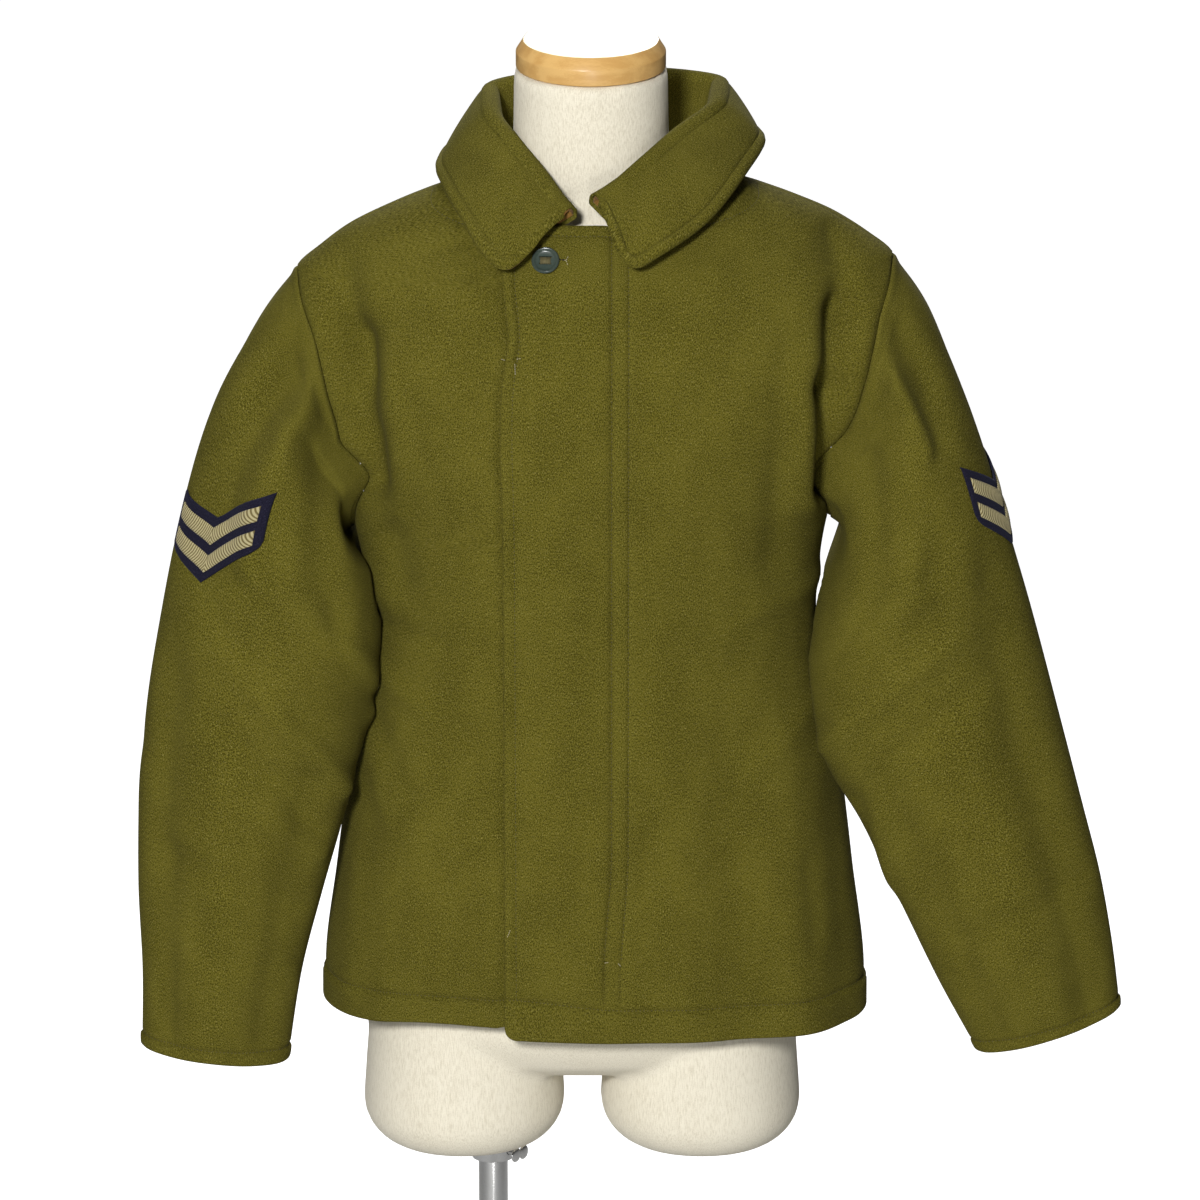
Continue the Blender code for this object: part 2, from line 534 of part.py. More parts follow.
class Sleeve:
    """A sleeve's worn shape: rings that start as the armhole and turn into ovals."""

    def __init__(self, side, outer_loop, inner_loop):
        self.side = side
        self.sign = 1.0 if side == "left" else -1.0
        table = [(i / (len(SLEEVES[side]) - 1), *row) for i, row in enumerate(SLEEVES[side])]
        self.columns = [curve(table, i) for i in range(1, 8)]
        self.samples, self.normals = side_samples()
        self.outer_loop = outer_loop
        self.inner_loop = inner_loop
        self.count = len(outer_loop)
        steps = np.linalg.norm(np.roll(outer_loop, -1, axis=0) - outer_loop, axis=1)
        half = self.count // 2
        front = np.concatenate([[0.0], np.cumsum(steps[:half])])
        behind = np.concatenate([[0.0], np.cumsum(steps[half:])])
        angles = list(math.pi * front / front[-1])[:-1] + list(math.pi * (1 + behind / behind[-1]))[:-1]
        self.loop_angles = np.array(angles)
        centre, across, deep, along = self.frame(0.0)
        width, depth = self.half_sizes(0.0)
        scaled = (across / width, deep / depth, along)
        self.loop_local = np.array([[(p - centre) @ axis for axis in scaled] for p in outer_loop])
        self.surface = None

    def frame(self, share):
        """The middle of the ring, and its axes: to the outer line, to the front, to the cuff."""
        values = [column(share) for column in self.columns]
        outer, inner = np.array(values[:3]), np.array(values[3:6])
        across = unit(outer - inner)
        along = unit(np.cross(np.array([0.0, -1.0, 0.0]), across)) * self.sign
        deep = np.cross(across, along) * self.sign
        return (outer + inner) / 2, across, deep, along

    def half_sizes(self, share):
        values = [column(share) for column in self.columns]
        return np.linalg.norm(np.array(values[:3]) - np.array(values[3:6])) / 2, values[6]

    def loop_at(self, angle):
        """The armhole's edge in its own frame, as shares of its half sizes, at any angle."""
        angles = np.append(self.loop_angles, 2 * math.pi)
        local = np.vstack([self.loop_local, self.loop_local[:1]])
        return np.array([np.interp(angle % (2 * math.pi), angles, local[:, i]) for i in range(3)])

    def point(self, angle, share):
        width, depth = self.half_sizes(share)
        centre, across, deep, along = self.frame(share)
        power = 2.0 / SLEEVE_SQUARENESS
        oval = np.array([signed_power(math.cos(angle), power), signed_power(math.sin(angle), power), 0.0])
        blend = smoothstep(0.0, HEAD_LENGTH, share)
        local = ((1 - blend) * self.loop_at(angle) + blend * oval) * np.array([width, depth, 1.0])
        out = unit(np.array([local[0], local[1] * width / depth, 0.0]))
        local = local + out * self.fold(angle, share)
        point = centre + local[0] * across + local[1] * deep + local[2] * along
        facing_body = smoothstep(-0.10, 0.20, -math.cos(angle)) * smoothstep(0.0, 0.012, share)
        if facing_body == 0.0:
            return point
        pushed = pushed_clear(point, self.samples, self.normals, SLEEVE_CLEARANCE)
        return point + facing_body * (pushed - point)

    def fold(self, angle, share):
        height = 0.0
        turn = math.degrees(angle) % 360
        for side, angle_a, share_a, angle_b, share_b, width, rise in SLEEVE_FOLDS:
            if side != self.side:
                continue
            places = [
                (math.radians(value) * SLEEVE_RADIUS, part * SLEEVE_LENGTH)
                for value, part in ((angle_a, share_a), (angle_b, share_b))
            ]
            here = (math.radians(turn) * SLEEVE_RADIUS, share * SLEEVE_LENGTH)
            gap = distance_to_segment(*here, *places[0], *places[1])
            height += rise * math.exp(-((gap / width) ** 2))
        return height * smoothstep(0.0, 0.10, share)

    def normal(self, angle, share):
        step_angle, step_share = 0.02, 0.004
        low, high = max(share - step_share, 0.0), min(share + step_share, 1.0)
        around = self.point(angle + step_angle, share) - self.point(angle - step_angle, share)
        down = self.point(angle, high) - self.point(angle, low)
        return unit(np.cross(around, down)) * self.sign

    def shares(self):
        """Places of the rings, closer together at the head and at the cuff's hem."""
        shares = [0.0, 0.018]
        count = SLEEVE_RINGS - 4
        for i in range(1, count + 1):
            shares.append(0.018 + (0.985 - 0.018) * (i / count) ** 1.12)
        return shares + [0.992, 1.0]

    def grids(self):
        outer, inner = [], []
        lift = self.seam_shift()
        for index, share in enumerate(self.shares()):
            if index == 0:
                outer.append(list(self.outer_loop + lift))
                inner.append(list(self.inner_loop + lift))
                continue
            thickness = CLOTH + (HEM_EXTRA if share > 0.98 else 0.0)
            points = [self.point(angle, share) for angle in self.loop_angles]
            normals = [self.normal(angle, max(share, SEAM_TURN)) for angle in self.loop_angles]
            outer.append(points)
            inner.append([p - thickness * n for p, n in zip(points, normals)])
        self.surface = surface_of(outer)
        return outer, inner

    def share_at(self, angle, z):
        """How far along the sleeve its line at an angle passes a height."""
        shares = np.linspace(0.08, 0.62, 28)
        heights = np.array([self.point(angle, share)[2] for share in shares])
        return float(np.interp(-z, -heights, shares))

    def on_surface(self, angle, share):
        """The place on the made sleeve under a point of its rule, and the rule's normal there."""
        normal = self.normal(angle, share)
        start = self.point(angle, share) + 0.02 * normal
        place, _, _, _ = self.surface.ray_cast(Vector(start), Vector(-normal))
        return np.array(place), normal

    def seam_shift(self):
        """The armhole seam's gap at each point of the loop: square to the seam and in line with
        the panel that it ends, so up at the armpit and outwards at the shoulder."""
        around = np.roll(self.outer_loop, -1, axis=0) - np.roll(self.outer_loop, 1, axis=0)
        through = self.inner_loop - self.outer_loop
        shift = np.cross(around, through)
        shift /= np.linalg.norm(shift, axis=1)[:, None]
        outwards = np.array([self.sign, 0.0, 0.5])
        shift *= np.sign(shift @ outwards)[:, None]
        return ARMHOLE_GAP * shift


# ---------------------------------------------------------------- meshes


def material(name, colour, roughness, metallic=0.0):
    made = bpy.data.materials.new(name)
    made.use_nodes = True
    shader = made.node_tree.nodes["Principled BSDF"]
    shader.inputs["Base Color"].default_value = colour
    shader.inputs["Roughness"].default_value = roughness
    shader.inputs["Metallic"].default_value = metallic
    return made


def add_object(name, bm, finish):
    bmesh.ops.recalc_face_normals(bm, faces=bm.faces)
    if bm.calc_volume(signed=True) < 0:
        bmesh.ops.reverse_faces(bm, faces=bm.faces)
    mesh = bpy.data.meshes.new(name)
    bm.to_mesh(mesh)
    bm.free()
    mesh.shade_smooth()
    mesh.set_sharp_from_angle(angle=math.radians(38))
    mesh.materials.append(finish)
    made = bpy.data.objects.new(name, mesh)
    bpy.context.scene.collection.objects.link(made)
    return made


def sheet(bm, grid, wrap):
    """Vertices and faces over a grid of points; wrap joins the last column to the first."""
    rows = [[bm.verts.new(point) for point in row] for row in grid]
    count = len(rows[0])
    for low, high in zip(rows, rows[1:]):
        for i in range(count if wrap else count - 1):
            j = (i + 1) % count
            bm.faces.new((low[i], low[j], high[j], high[i]))
    return rows


def rim(bm, first, second, wrap):
    """Faces between two lines of vertices, along an edge of the wall."""
    count = len(first)
    for i in range(count if wrap else count - 1):
        j = (i + 1) % count
        bm.faces.new((first[i], first[j], second[j], second[i]))


def wall(name, outer, inner, finish, wrap=False):
    """A closed wall of cloth between an outer and an inner grid of points."""
    bm = bmesh.new()
    outside = sheet(bm, outer, wrap)
    inside = sheet(bm, inner, wrap)
    rim(bm, outside[0], inside[0], wrap)
    rim(bm, outside[-1], inside[-1], wrap)
    if not wrap:
        rim(bm, [row[0] for row in outside], [row[0] for row in inside], False)
        rim(bm, [row[-1] for row in outside], [row[-1] for row in inside], False)
    return add_object(name, bm, finish)


def loft(name, rings, finish):
    """A closed solid through rings of points, with flat ends."""
    bm = bmesh.new()
    rows = sheet(bm, rings, True)
    bm.faces.new(rows[0])
    bm.faces.new(rows[-1])
    return add_object(name, bm, finish)


def turned(name, profile, segments, finish, place):
    """A solid turned about its own Z from (radius, height) points, bottom to top."""
    bm = bmesh.new()
    points = [bm.verts.new((radius, 0.0, height)) for radius, height in profile]
    edges = [bm.edges.new(pair) for pair in zip(points, points[1:])]
    bmesh.ops.spin(
        bm, geom=points + edges, cent=(0, 0, 0), axis=(0, 0, 1), angle=2 * math.pi, steps=segments,
        use_merge=True,
    )
    bmesh.ops.remove_doubles(bm, verts=bm.verts, dist=1e-6)
    made = add_object(name, bm, finish)
    made.matrix_world = place
    return made


def hidden_cutter(name, bm):
    made = add_object(name, bm, material(name, CHROME, 0.5))
    made.hide_render = True
    made.display_type = "WIRE"
    return made


def boolean(target, other, operation):
    modifier = target.modifiers.new(other.name, "BOOLEAN")
    modifier.operation = operation
    modifier.object = other


def cylinder(radius, low, high, segments):
    bm = bmesh.new()
    bmesh.ops.create_cone(
        bm, cap_ends=True, segments=segments, radius1=radius, radius2=radius, depth=high - low,
        matrix=Matrix.Translation((0, 0, (low + high) / 2)),
    )
    return bm


# ---------------------------------------------------------------- the jacket


def make_body(wool):
    upper = panel_grids("upper", UPPER_FRONT_COLUMNS)
    lower = panel_grids("lower", LOWER_FRONT_COLUMNS)
    back = panel_grids("back", BACK_COLUMNS)
    wall("left_front", *upper, wool)
    wall("right_front", *lower, wool)
    wall("back", *back, wool)
    return upper, lower, back


def make_sleeves(upper, lower, back, wool):
    sleeves = {}
    for side, fronts in (("left", upper), ("right", lower)):
        outer_loop, inner_loop = armhole_loop(side, fronts, back)
        sleeve = Sleeve(side, outer_loop, inner_loop)
        wall(f"{side}_sleeve", *sleeve.grids(), wool, wrap=True)
        sleeves[side] = sleeve
    return sleeves


def shoulder_samples():
    """Points and normals over the top of the body, to hold the collar clear of it."""
    points, normals = [], []
    for z in np.arange(1.35, 1.449, 0.004):
        for degrees in range(0, 360, 4):
            angle = math.radians(degrees)
            points.append(body_point(angle, z) + max(lap_offset(0.0, "upper"), 0) * body_normal(angle, z))
            normals.append(body_normal(angle, z))
    return np.array(points), np.array(normals)


def collar_path(values):
    """The middle line of one section of the collar, from the neckline over the crest to the
    edge, and the section's outward direction."""
    angle, cx, cy, cz, ex, ey, ez = values
    turn = math.radians(angle)
    base = body_point(turn, row_height(NECK_Z, turn))
    base = base + np.array([0.0, 0.0, SEAM_GAP + NECK_SEAM_LIFT])
    crest = np.array([cx, cy, cz])
    edge = np.array([ex, ey, ez])
    out = unit(np.array([ex - cx, ey - cy, 0.0]))
    up = np.array([0.0, 0.0, 1.0])
    hub = crest - COLLAR_ROLL * up
    stand_top = hub - COLLAR_ROLL * out
    path = [base, base * 0.6 + stand_top * 0.4, base * 0.25 + stand_top * 0.75]
    for degrees in (0, 45, 90, 135, 170):
        turn = math.radians(degrees)
        path.append(hub - COLLAR_ROLL * math.cos(turn) * out + COLLAR_ROLL * math.sin(turn) * up)
    start = path[-1]
    fall = edge - start
    bulge = unit(np.array([-fall[2] * out[0], -fall[2] * out[1], fall @ out]))
    for i in range(1, LEAF_ROWS + 1):
        share = i / LEAF_ROWS
        path.append(start + share * fall + LEAF_BULGE * 4 * share * (1 - share) * bulge)
    return path, out


def collar_sides(path, out):
    """The direction square to the path at each of its points, towards the collar's face."""
    tangents = [path[1] - path[0]]
    tangents += [after - before for before, after in zip(path, path[2:])]
    tangents.append(path[-1] - path[-2])
    along = np.cross(np.array([0.0, 0.0, 1.0]), out)
    sides = [unit(np.cross(tangent, along)) for tangent in tangents]
    sign = 1.0 if sides[ROLL_START + 1][2] > 0 else -1.0  # the face is upwards on the roll
    return [sign * side for side in sides]


def make_collar(wool, melton):
    table = [(float(i), *row) for i, row in enumerate(COLLAR_STATIONS)]
    columns = [curve(table, i) for i in range(1, 8)]
    last = len(table) - 1
    samples, normals = shoulder_samples()
    heights = {
        "face": COLLAR_LAYER + LAYER_GAP / 2,
        "face_back": LAYER_GAP / 2,
        "under": -LAYER_GAP / 2,
        "under_back": -COLLAR_LAYER - LAYER_GAP / 2,
    }
    layers = {name: [] for name in heights}
    for i in range(COLLAR_COLUMNS + 1):
        place = last * i / COLLAR_COLUMNS
        path, out = collar_path([column(place) for column in columns])
        sides = collar_sides(path, out)
        for name, height in heights.items():
            points = [point + height * side for point, side in zip(path, sides)]
            lift = COLLAR_LIFT + height + COLLAR_LAYER + LAYER_GAP / 2
            for j in range(FALL_START, len(points)):
                points[j] = pushed_clear(points[j], samples, normals, lift)
            layers[name].append(points)
    wall("collar", layers["face"], layers["face_back"], wool)
    wall("undercollar", layers["under"], layers["under_back"], melton)


def make_button(finish):
    angle = -math.pi / 2 - math.asin(min(abs(BUTTON_X) / half_width(BUTTON_Z), 1.0))
    normal = body_normal(angle, BUTTON_Z)
    seat = body_point(angle, BUTTON_Z) + (LAP_OUT + 0.0006) * normal
    place = Matrix.Translation(seat) @ Vector(normal).to_track_quat("Z", "X").to_matrix().to_4x4()
    radius, thickness = BUTTON_RADIUS, BUTTON_THICKNESS
    profile = (
        (0.0, 0.0),
        (radius * 0.80, 0.0),
        (radius, thickness * 0.45),
        (radius * 0.97, thickness * 0.80),
        (radius * 0.88, thickness),
        (radius * 0.74, thickness * 0.92),
        (radius * 0.62, thickness * 0.62),
        (0.0, thickness * 0.62),
    )
    made = turned("button", profile, 20, finish, place)
    for name, offset in (("button_slot_upper", 0.0019), ("button_slot_lower", -0.0019)):
        bm = bmesh.new()
        bmesh.ops.create_cube(bm, size=1.0)
        bmesh.ops.scale(bm, vec=(0.0088, 0.0014, 0.02), verts=bm.verts)
        bmesh.ops.translate(bm, vec=(0.0, offset, 0.0), verts=bm.verts)
        slot = hidden_cutter(name, bm)
        slot.matrix_world = place
        boolean(made, slot, "DIFFERENCE")


def chevron_grids(sleeve, low, high, seat, thickness, rows, columns):
    """A V-shaped strip on the sleeve, between two heights above the chevron's lower edge."""
    outer, inner = [], []
    middle = math.radians(CHEVRON_ANGLE[sleeve.side])
    for i in range(rows + 1):
        height = low + (high - low) * i / rows
        outer_row, inner_row = [], []
        for j in range(columns + 1):
            across = (2.0 * j / columns - 1.0) * CHEVRON_HALF_WIDTH
            rise = CHEVRON_SLOPE * abs(across) - CHEVRON_LEAN[sleeve.side] * across
            narrowed = 1.0 - CHEVRON_NARROWING * abs(across) / CHEVRON_HALF_WIDTH
            z = CHEVRON_TIP_Z[sleeve.side] + rise + height * narrowed
            angle = middle - across / SLEEVE_RADIUS
            point, normal = sleeve.on_surface(angle, sleeve.share_at(angle, z))
            outer_row.append(point + (seat + thickness) * normal)
            inner_row.append(point + seat * normal)
        outer.append(outer_row)
        inner.append(inner_row)
    return outer, inner


def make_chevrons(sleeves, felt, braid):
    for side, sleeve in sleeves.items():
        seat = CHEVRON_SEAT
        backing = chevron_grids(sleeve, 0.0, CHEVRON_HEIGHT, seat, CHEVRON_BACKING, 4, 12)
        wall(f"{side}_chevron_backing", *backing, felt)
        top = seat + CHEVRON_BACKING + BRAID_SEAT
        for name, start in zip(("lower", "upper"), BRAID_STARTS):
            bar = chevron_grids(sleeve, start, start + BRAID_WIDTH, top, BRAID_THICKNESS, 1, 12)
            wall(f"{side}_chevron_{name}_bar", *bar, braid)


# ---------------------------------------------------------------- the dress form and its stand


def ring(middle, width, front, back, lean, exponent, segments):
    tilted = Matrix.Rotation(math.radians(lean), 3, "X")
    points = []
    for i in range(segments):
        angle = 2 * math.pi * i / segments
        depth = back if math.sin(angle) > 0 else front
        x = width * signed_power(math.cos(angle), 2 / exponent)
        y = depth * signed_power(math.sin(angle), 2 / exponent)
        points.append(Vector(middle) + tilted @ Vector((x, y, 0.0)))
    return points


def form_samples():
    """The inner face of the cloth over the shoulders, which the form stays inside."""
    points, normals = [], []
    for z in np.arange(1.26, 1.445, 0.004):
        for degrees in range(0, 360, 4):
            angle = math.radians(degrees)
            normal = body_normal(angle, z)
            points.append(body_point(angle, z) - CLOTH * normal)
            normals.append(-normal)
    return np.array(points), np.array(normals)


def make_form(jersey):
    columns = [curve(FORM_SECTIONS, i) for i in range(1, 7)]
    samples, normals = form_samples()
    low, high = FORM_SECTIONS[0][0], FORM_SECTIONS[-1][0]
    rings = []
    for i in range(FORM_RINGS + 1):
        share = i / FORM_RINGS
        z = low + (high - low) * (share + 0.16 * math.sin(math.pi * share) ** 2 * (1 - 0.3 * share))
        mx, my, width, front, back, lean = [column(z) for column in columns]
        points = ring((mx, my, z), width, front, back, lean, FORM_SQUARENESS, FORM_SEGMENTS)
        if 1.27 < z < 1.435:
            points = [pushed_clear(np.array(p), samples, normals, FORM_GAP) for p in points]
        rings.append(points)
    form = loft("dress_form", rings, jersey)
    for side, (middle, width) in STUBS.items():
        levels = [
            (STUB_BOTTOM_Z + STUB_ROUNDING * (1 - math.cos(math.radians(t))), math.sin(math.radians(t)))
            for t in (0, 25, 45, 65, 90)
        ]
        stub_rings = []
        for z, turn in levels:
            inset = STUB_ROUNDING * (1 - turn)
            stub_rings.append(
                ring((middle, 0.004, z), width - inset, STUB_DEPTH - inset, STUB_DEPTH - inset, 0.0,
                     FORM_SQUARENESS, STUB_SEGMENTS)
            )
        stub_rings.append(
            ring((middle, 0.004, STUB_TOP_Z), width * 0.9, STUB_DEPTH * 0.95, STUB_DEPTH * 0.95, 0.0,
                 FORM_SQUARENESS, STUB_SEGMENTS)
        )
        stub = loft(f"{side}_stub", stub_rings, jersey)
        stub.hide_render = True
        stub.display_type = "WIRE"
        boolean(form, stub, "UNION")
    bore = hidden_cutter(
        "pole_bore", cylinder(POLE_RADIUS + SOCKET_CLEARANCE, STUB_BOTTOM_Z - 0.05, SOCKET_TOP_Z, 32)
    )
    bore.location = (POLE_X, POLE_Y, 0.0)
    boolean(form, bore, "DIFFERENCE")


def make_cap(birch):
    x, y, _, _, _, lean = [curve(FORM_SECTIONS, i)(FORM_SECTIONS[-1][0]) for i in range(1, 7)]
    tilted = Matrix.Rotation(math.radians(lean), 4, "X")
    seat = Vector((x, y, FORM_SECTIONS[-1][0])) + tilted.to_3x3() @ Vector((0, 0, SEAM_GAP))
    profile = ((0.0, 0.0), *CAP_PROFILE)
    turned("neck_cap", profile, CAP_SEGMENTS, birch, Matrix.Translation(seat) @ tilted)


def make_stand(chrome):
    pole = add_object("pole", cylinder(POLE_RADIUS, BASE_THICKNESS + 0.0003, POLE_TOP_Z, 32), chrome)
    pole.location = (POLE_X, POLE_Y, 0.0)
    base_profile = (
        (0.0, 0.0),
        (BASE_RADIUS, 0.0),
        (BASE_RADIUS, BASE_THICKNESS * 0.6),
        (BASE_RADIUS - BASE_THICKNESS * 0.4, BASE_THICKNESS),
        (0.0, BASE_THICKNESS),
    )
    turned("base_plate", base_profile, 64, chrome, Matrix.Identity(4))
    hole = POLE_RADIUS + 0.0004
    boss_profile = (
        (hole, 0.0),
        (BOSS_RADIUS, 0.0),
        (BOSS_RADIUS, BOSS_HEIGHT * 0.25),
        (BOSS_RADIUS * 0.78, BOSS_HEIGHT * 0.40),
        (BOSS_RADIUS * 0.72, BOSS_HEIGHT * 0.94),
        (BOSS_RADIUS * 0.66, BOSS_HEIGHT),
        (hole, BOSS_HEIGHT),
        (hole, 0.0),
    )
    turned("base_boss", boss_profile, ROUND_SEGMENTS, chrome,
           Matrix.Translation((POLE_X, POLE_Y, BASE_THICKNESS + 0.0003)))
    make_clamp(chrome)


def make_clamp(chrome):
    top = STUB_BOTTOM_Z - SEAM_GAP
    bottom = top - CLAMP_TUBE_LENGTH
    hole = POLE_RADIUS + SOCKET_CLEARANCE
    profile = (
        (hole, bottom),
        (CLAMP_TUBE_RADIUS, bottom),
        (CLAMP_TUBE_RADIUS, top - CLAMP_FLANGE_THICKNESS),
        (CLAMP_FLANGE_RADIUS, top - CLAMP_FLANGE_THICKNESS),
        (CLAMP_FLANGE_RADIUS, top),
        (hole, top),
        (hole, bottom),
    )
    middle = Matrix.Translation((POLE_X, POLE_Y, 0.0))
    clamp = turned("clamp_socket", profile, ROUND_SEGMENTS, chrome, middle)
    screw_z = (bottom + top - CLAMP_FLANGE_THICKNESS) / 2
    facing = Matrix.Rotation(math.radians(SCREW_DIRECTION), 4, "Z") @ Matrix.Rotation(math.pi / 2, 4, "Y")
    place = Matrix.Translation((POLE_X, POLE_Y, screw_z)) @ facing
    drill = hidden_cutter("screw_hole", cylinder(SCREW_RADIUS + SEAM_GAP, 0.004, 0.03, 20))
    drill.matrix_world = place
    boolean(clamp, drill, "DIFFERENCE")
    start = POLE_RADIUS + 0.0004
    screw = add_object("wing_screw", cylinder(SCREW_RADIUS, start, start + SCREW_LENGTH, 20), chrome)
    screw.matrix_world = place
    bm = bmesh.new()
    bmesh.ops.create_cone(
        bm, cap_ends=True, segments=20, radius1=WING_HEIGHT, radius2=WING_HEIGHT,
        depth=WING_THICKNESS, matrix=Matrix.Rotation(math.pi / 2, 4, "Y"),
    )
    bmesh.ops.scale(bm, vec=(1.0, WING_SPAN / WING_HEIGHT, 0.62), verts=bm.verts)
    wings = hidden_cutter("screw_wings", bm)
    wings.matrix_world = place @ Matrix.Translation((0, 0, start + SCREW_LENGTH - 0.001))
    boolean(screw, wings, "UNION")


def main():
    for item in list(bpy.data.objects):
        bpy.data.objects.remove(item, do_unlink=True)
    wool = material("wool_cloth", WOOL_GREEN, 0.95)
    upper, lower, back = make_body(wool)
    sleeves = make_sleeves(upper, lower, back, wool)
    make_collar(wool, material("undercollar_melton", RUST_MELTON, 0.95))
    make_button(material("button_plastic", BUTTON_GREY, 0.35))
    make_chevrons(sleeves, material("navy_felt", NAVY_FELT, 0.95), material("braid", DRAB_BRAID, 0.85))
    make_form(material("jersey", CREAM_JERSEY, 0.9))
    make_cap(material("birch", PALE_BIRCH, 0.5))
    make_stand(material("chrome", CHROME, 0.12, 1.0))


main()
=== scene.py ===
"""Looks for a wool uniform jacket on a limbless dress form.

Metres, +Z up, front at -Y, the wearer's left at +X. The cloth is laid out with the same sections,
folds and edges as the part's own source, in finer rows, with its sewn lines, nap and stitches.
"""

import math

import bmesh
import bpy
import numpy as np
from mathutils import Matrix, Vector
from mathutils.kdtree import KDTree


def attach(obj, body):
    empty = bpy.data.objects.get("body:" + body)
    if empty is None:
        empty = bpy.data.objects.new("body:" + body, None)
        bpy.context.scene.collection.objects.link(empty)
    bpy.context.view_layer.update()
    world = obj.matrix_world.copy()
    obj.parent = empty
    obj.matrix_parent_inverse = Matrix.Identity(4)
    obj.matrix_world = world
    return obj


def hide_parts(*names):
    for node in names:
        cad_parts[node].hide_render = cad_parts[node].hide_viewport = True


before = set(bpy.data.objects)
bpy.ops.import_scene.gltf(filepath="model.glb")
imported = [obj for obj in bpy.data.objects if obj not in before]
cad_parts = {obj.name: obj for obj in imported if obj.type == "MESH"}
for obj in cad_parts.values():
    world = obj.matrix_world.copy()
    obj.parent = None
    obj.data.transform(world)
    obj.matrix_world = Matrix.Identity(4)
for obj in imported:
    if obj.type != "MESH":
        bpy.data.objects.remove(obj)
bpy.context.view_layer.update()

# ---------------------------------------------------------------- the cut of the jacket

CLOTH = 0.0028  # thickness of the wool
SEAM_GAP = 0.0003
ARMHOLE_GAP = 0.0004
LAP_OUT = 0.0028
LAP_IN = 0.0024
HEM_Z = 0.772
ARMPIT_Z = 1.165
SHOULDER_Z = 1.3705
NECK_Z = 1.437
UPPER_FRONT_EDGE_X = -0.070
LOWER_FRONT_EDGE_X = -0.012
HEM_CORNER = 0.010
LOWER_HEM_RISE = 0.008
NECK_FRONT_DROP = 0.029
NECK_BACK_RISE = 0.014

# z, half width, front depth, back depth, squareness of the section
BODY_SECTIONS = (
    (0.750, 0.2165, 0.1245, 0.1220, 2.30),
    (0.801, 0.2160, 0.1240, 0.1215, 2.30),
    (0.885, 0.2060, 0.1225, 0.1170, 2.30),
    (0.951, 0.1975, 0.1205, 0.1120, 2.30),
    (1.017, 0.1860, 0.1190, 0.1080, 2.30),
    (1.060, 0.1780, 0.1185, 0.1070, 2.30),
    (1.098, 0.1745, 0.1210, 0.1090, 2.30),
    (1.130, 0.1765, 0.1245, 0.1130, 2.30),
    (1.165, 0.1820, 0.1275, 0.1180, 2.30),
    (1.190, 0.1905, 0.1295, 0.1215, 2.30),
    (1.220, 0.2060, 0.1310, 0.1255, 2.30),
    (1.260, 0.2280, 0.1305, 0.1300, 2.30),
    (1.310, 0.2430, 0.1230, 0.1310, 2.25),
    (1.340, 0.2440, 0.1140, 0.1275, 2.15),
    (1.3705, 0.2320, 0.1020, 0.1220, 2.05),
    (1.3852, 0.2150, 0.0950, 0.1170, 2.00),
    (1.4008, 0.1925, 0.0850, 0.1110, 2.00),
    (1.4165, 0.1580, 0.0720, 0.1040, 2.00),
    (1.437, 0.1040, 0.0500, 0.0960, 2.00),
    (1.460, 0.0600, 0.0300, 0.0860, 2.00),
)
# z, distance of the armhole's edge from the centre plane
ARMHOLE_EDGE = (
    (1.165, 0.1820),
    (1.185, 0.1826),
    (1.210, 0.1870),
    (1.241, 0.2000),
    (1.272, 0.2080),
    (1.324, 0.2185),
    (1.355, 0.2285),
    (1.3705, 0.2320),
)
# z, rise towards the wearer's left for each metre across
TILT = ((0.75, -0.023), (0.95, 0.0), (1.15, 0.020), (1.37, 0.022), (1.46, 0.012))

# Folds of the worn body. face, x and z of one end, x and z of the other, half width, height
BODY_FOLDS = (
    ("front", -0.205, 1.235, -0.165, 1.120, 0.016, 0.0070),
    ("front", -0.168, 1.250, -0.150, 1.130, 0.014, -0.0050),
    ("front", 0.180, 1.300, 0.168, 1.190, 0.015, 0.0060),
    ("front", 0.152, 1.310, 0.140, 1.150, 0.014, -0.0045),
    ("front", 0.150, 0.990, 0.168, 0.740, 0.022, 0.0050),
    ("front", 0.105, 1.000, 0.118, 0.740, 0.020, -0.0035),
    ("front", -0.145, 0.980, -0.160, 0.740, 0.022, 0.0045),
    ("front", -0.100, 1.010, -0.108, 0.740, 0.018, -0.0030),
    ("back", -0.185, 1.260, -0.150, 1.130, 0.018, 0.0065),
    ("back", 0.185, 1.265, 0.152, 1.125, 0.018, 0.0065),
    ("back", -0.110, 1.230, -0.080, 1.080, 0.022, -0.0040),
    ("back", 0.105, 1.240, 0.086, 1.070, 0.022, -0.0045),
    ("back", -0.120, 1.040, 0.020, 1.060, 0.014, 0.0035),
    ("back", -0.125, 0.980, -0.145, 0.740, 0.024, 0.0055),
    ("back", -0.060, 1.000, -0.066, 0.740, 0.022, -0.0045),
    ("back", 0.020, 0.960, 0.028, 0.740, 0.022, 0.0045),
    ("back", 0.118, 0.990, 0.140, 0.740, 0.024, 0.0050),
)
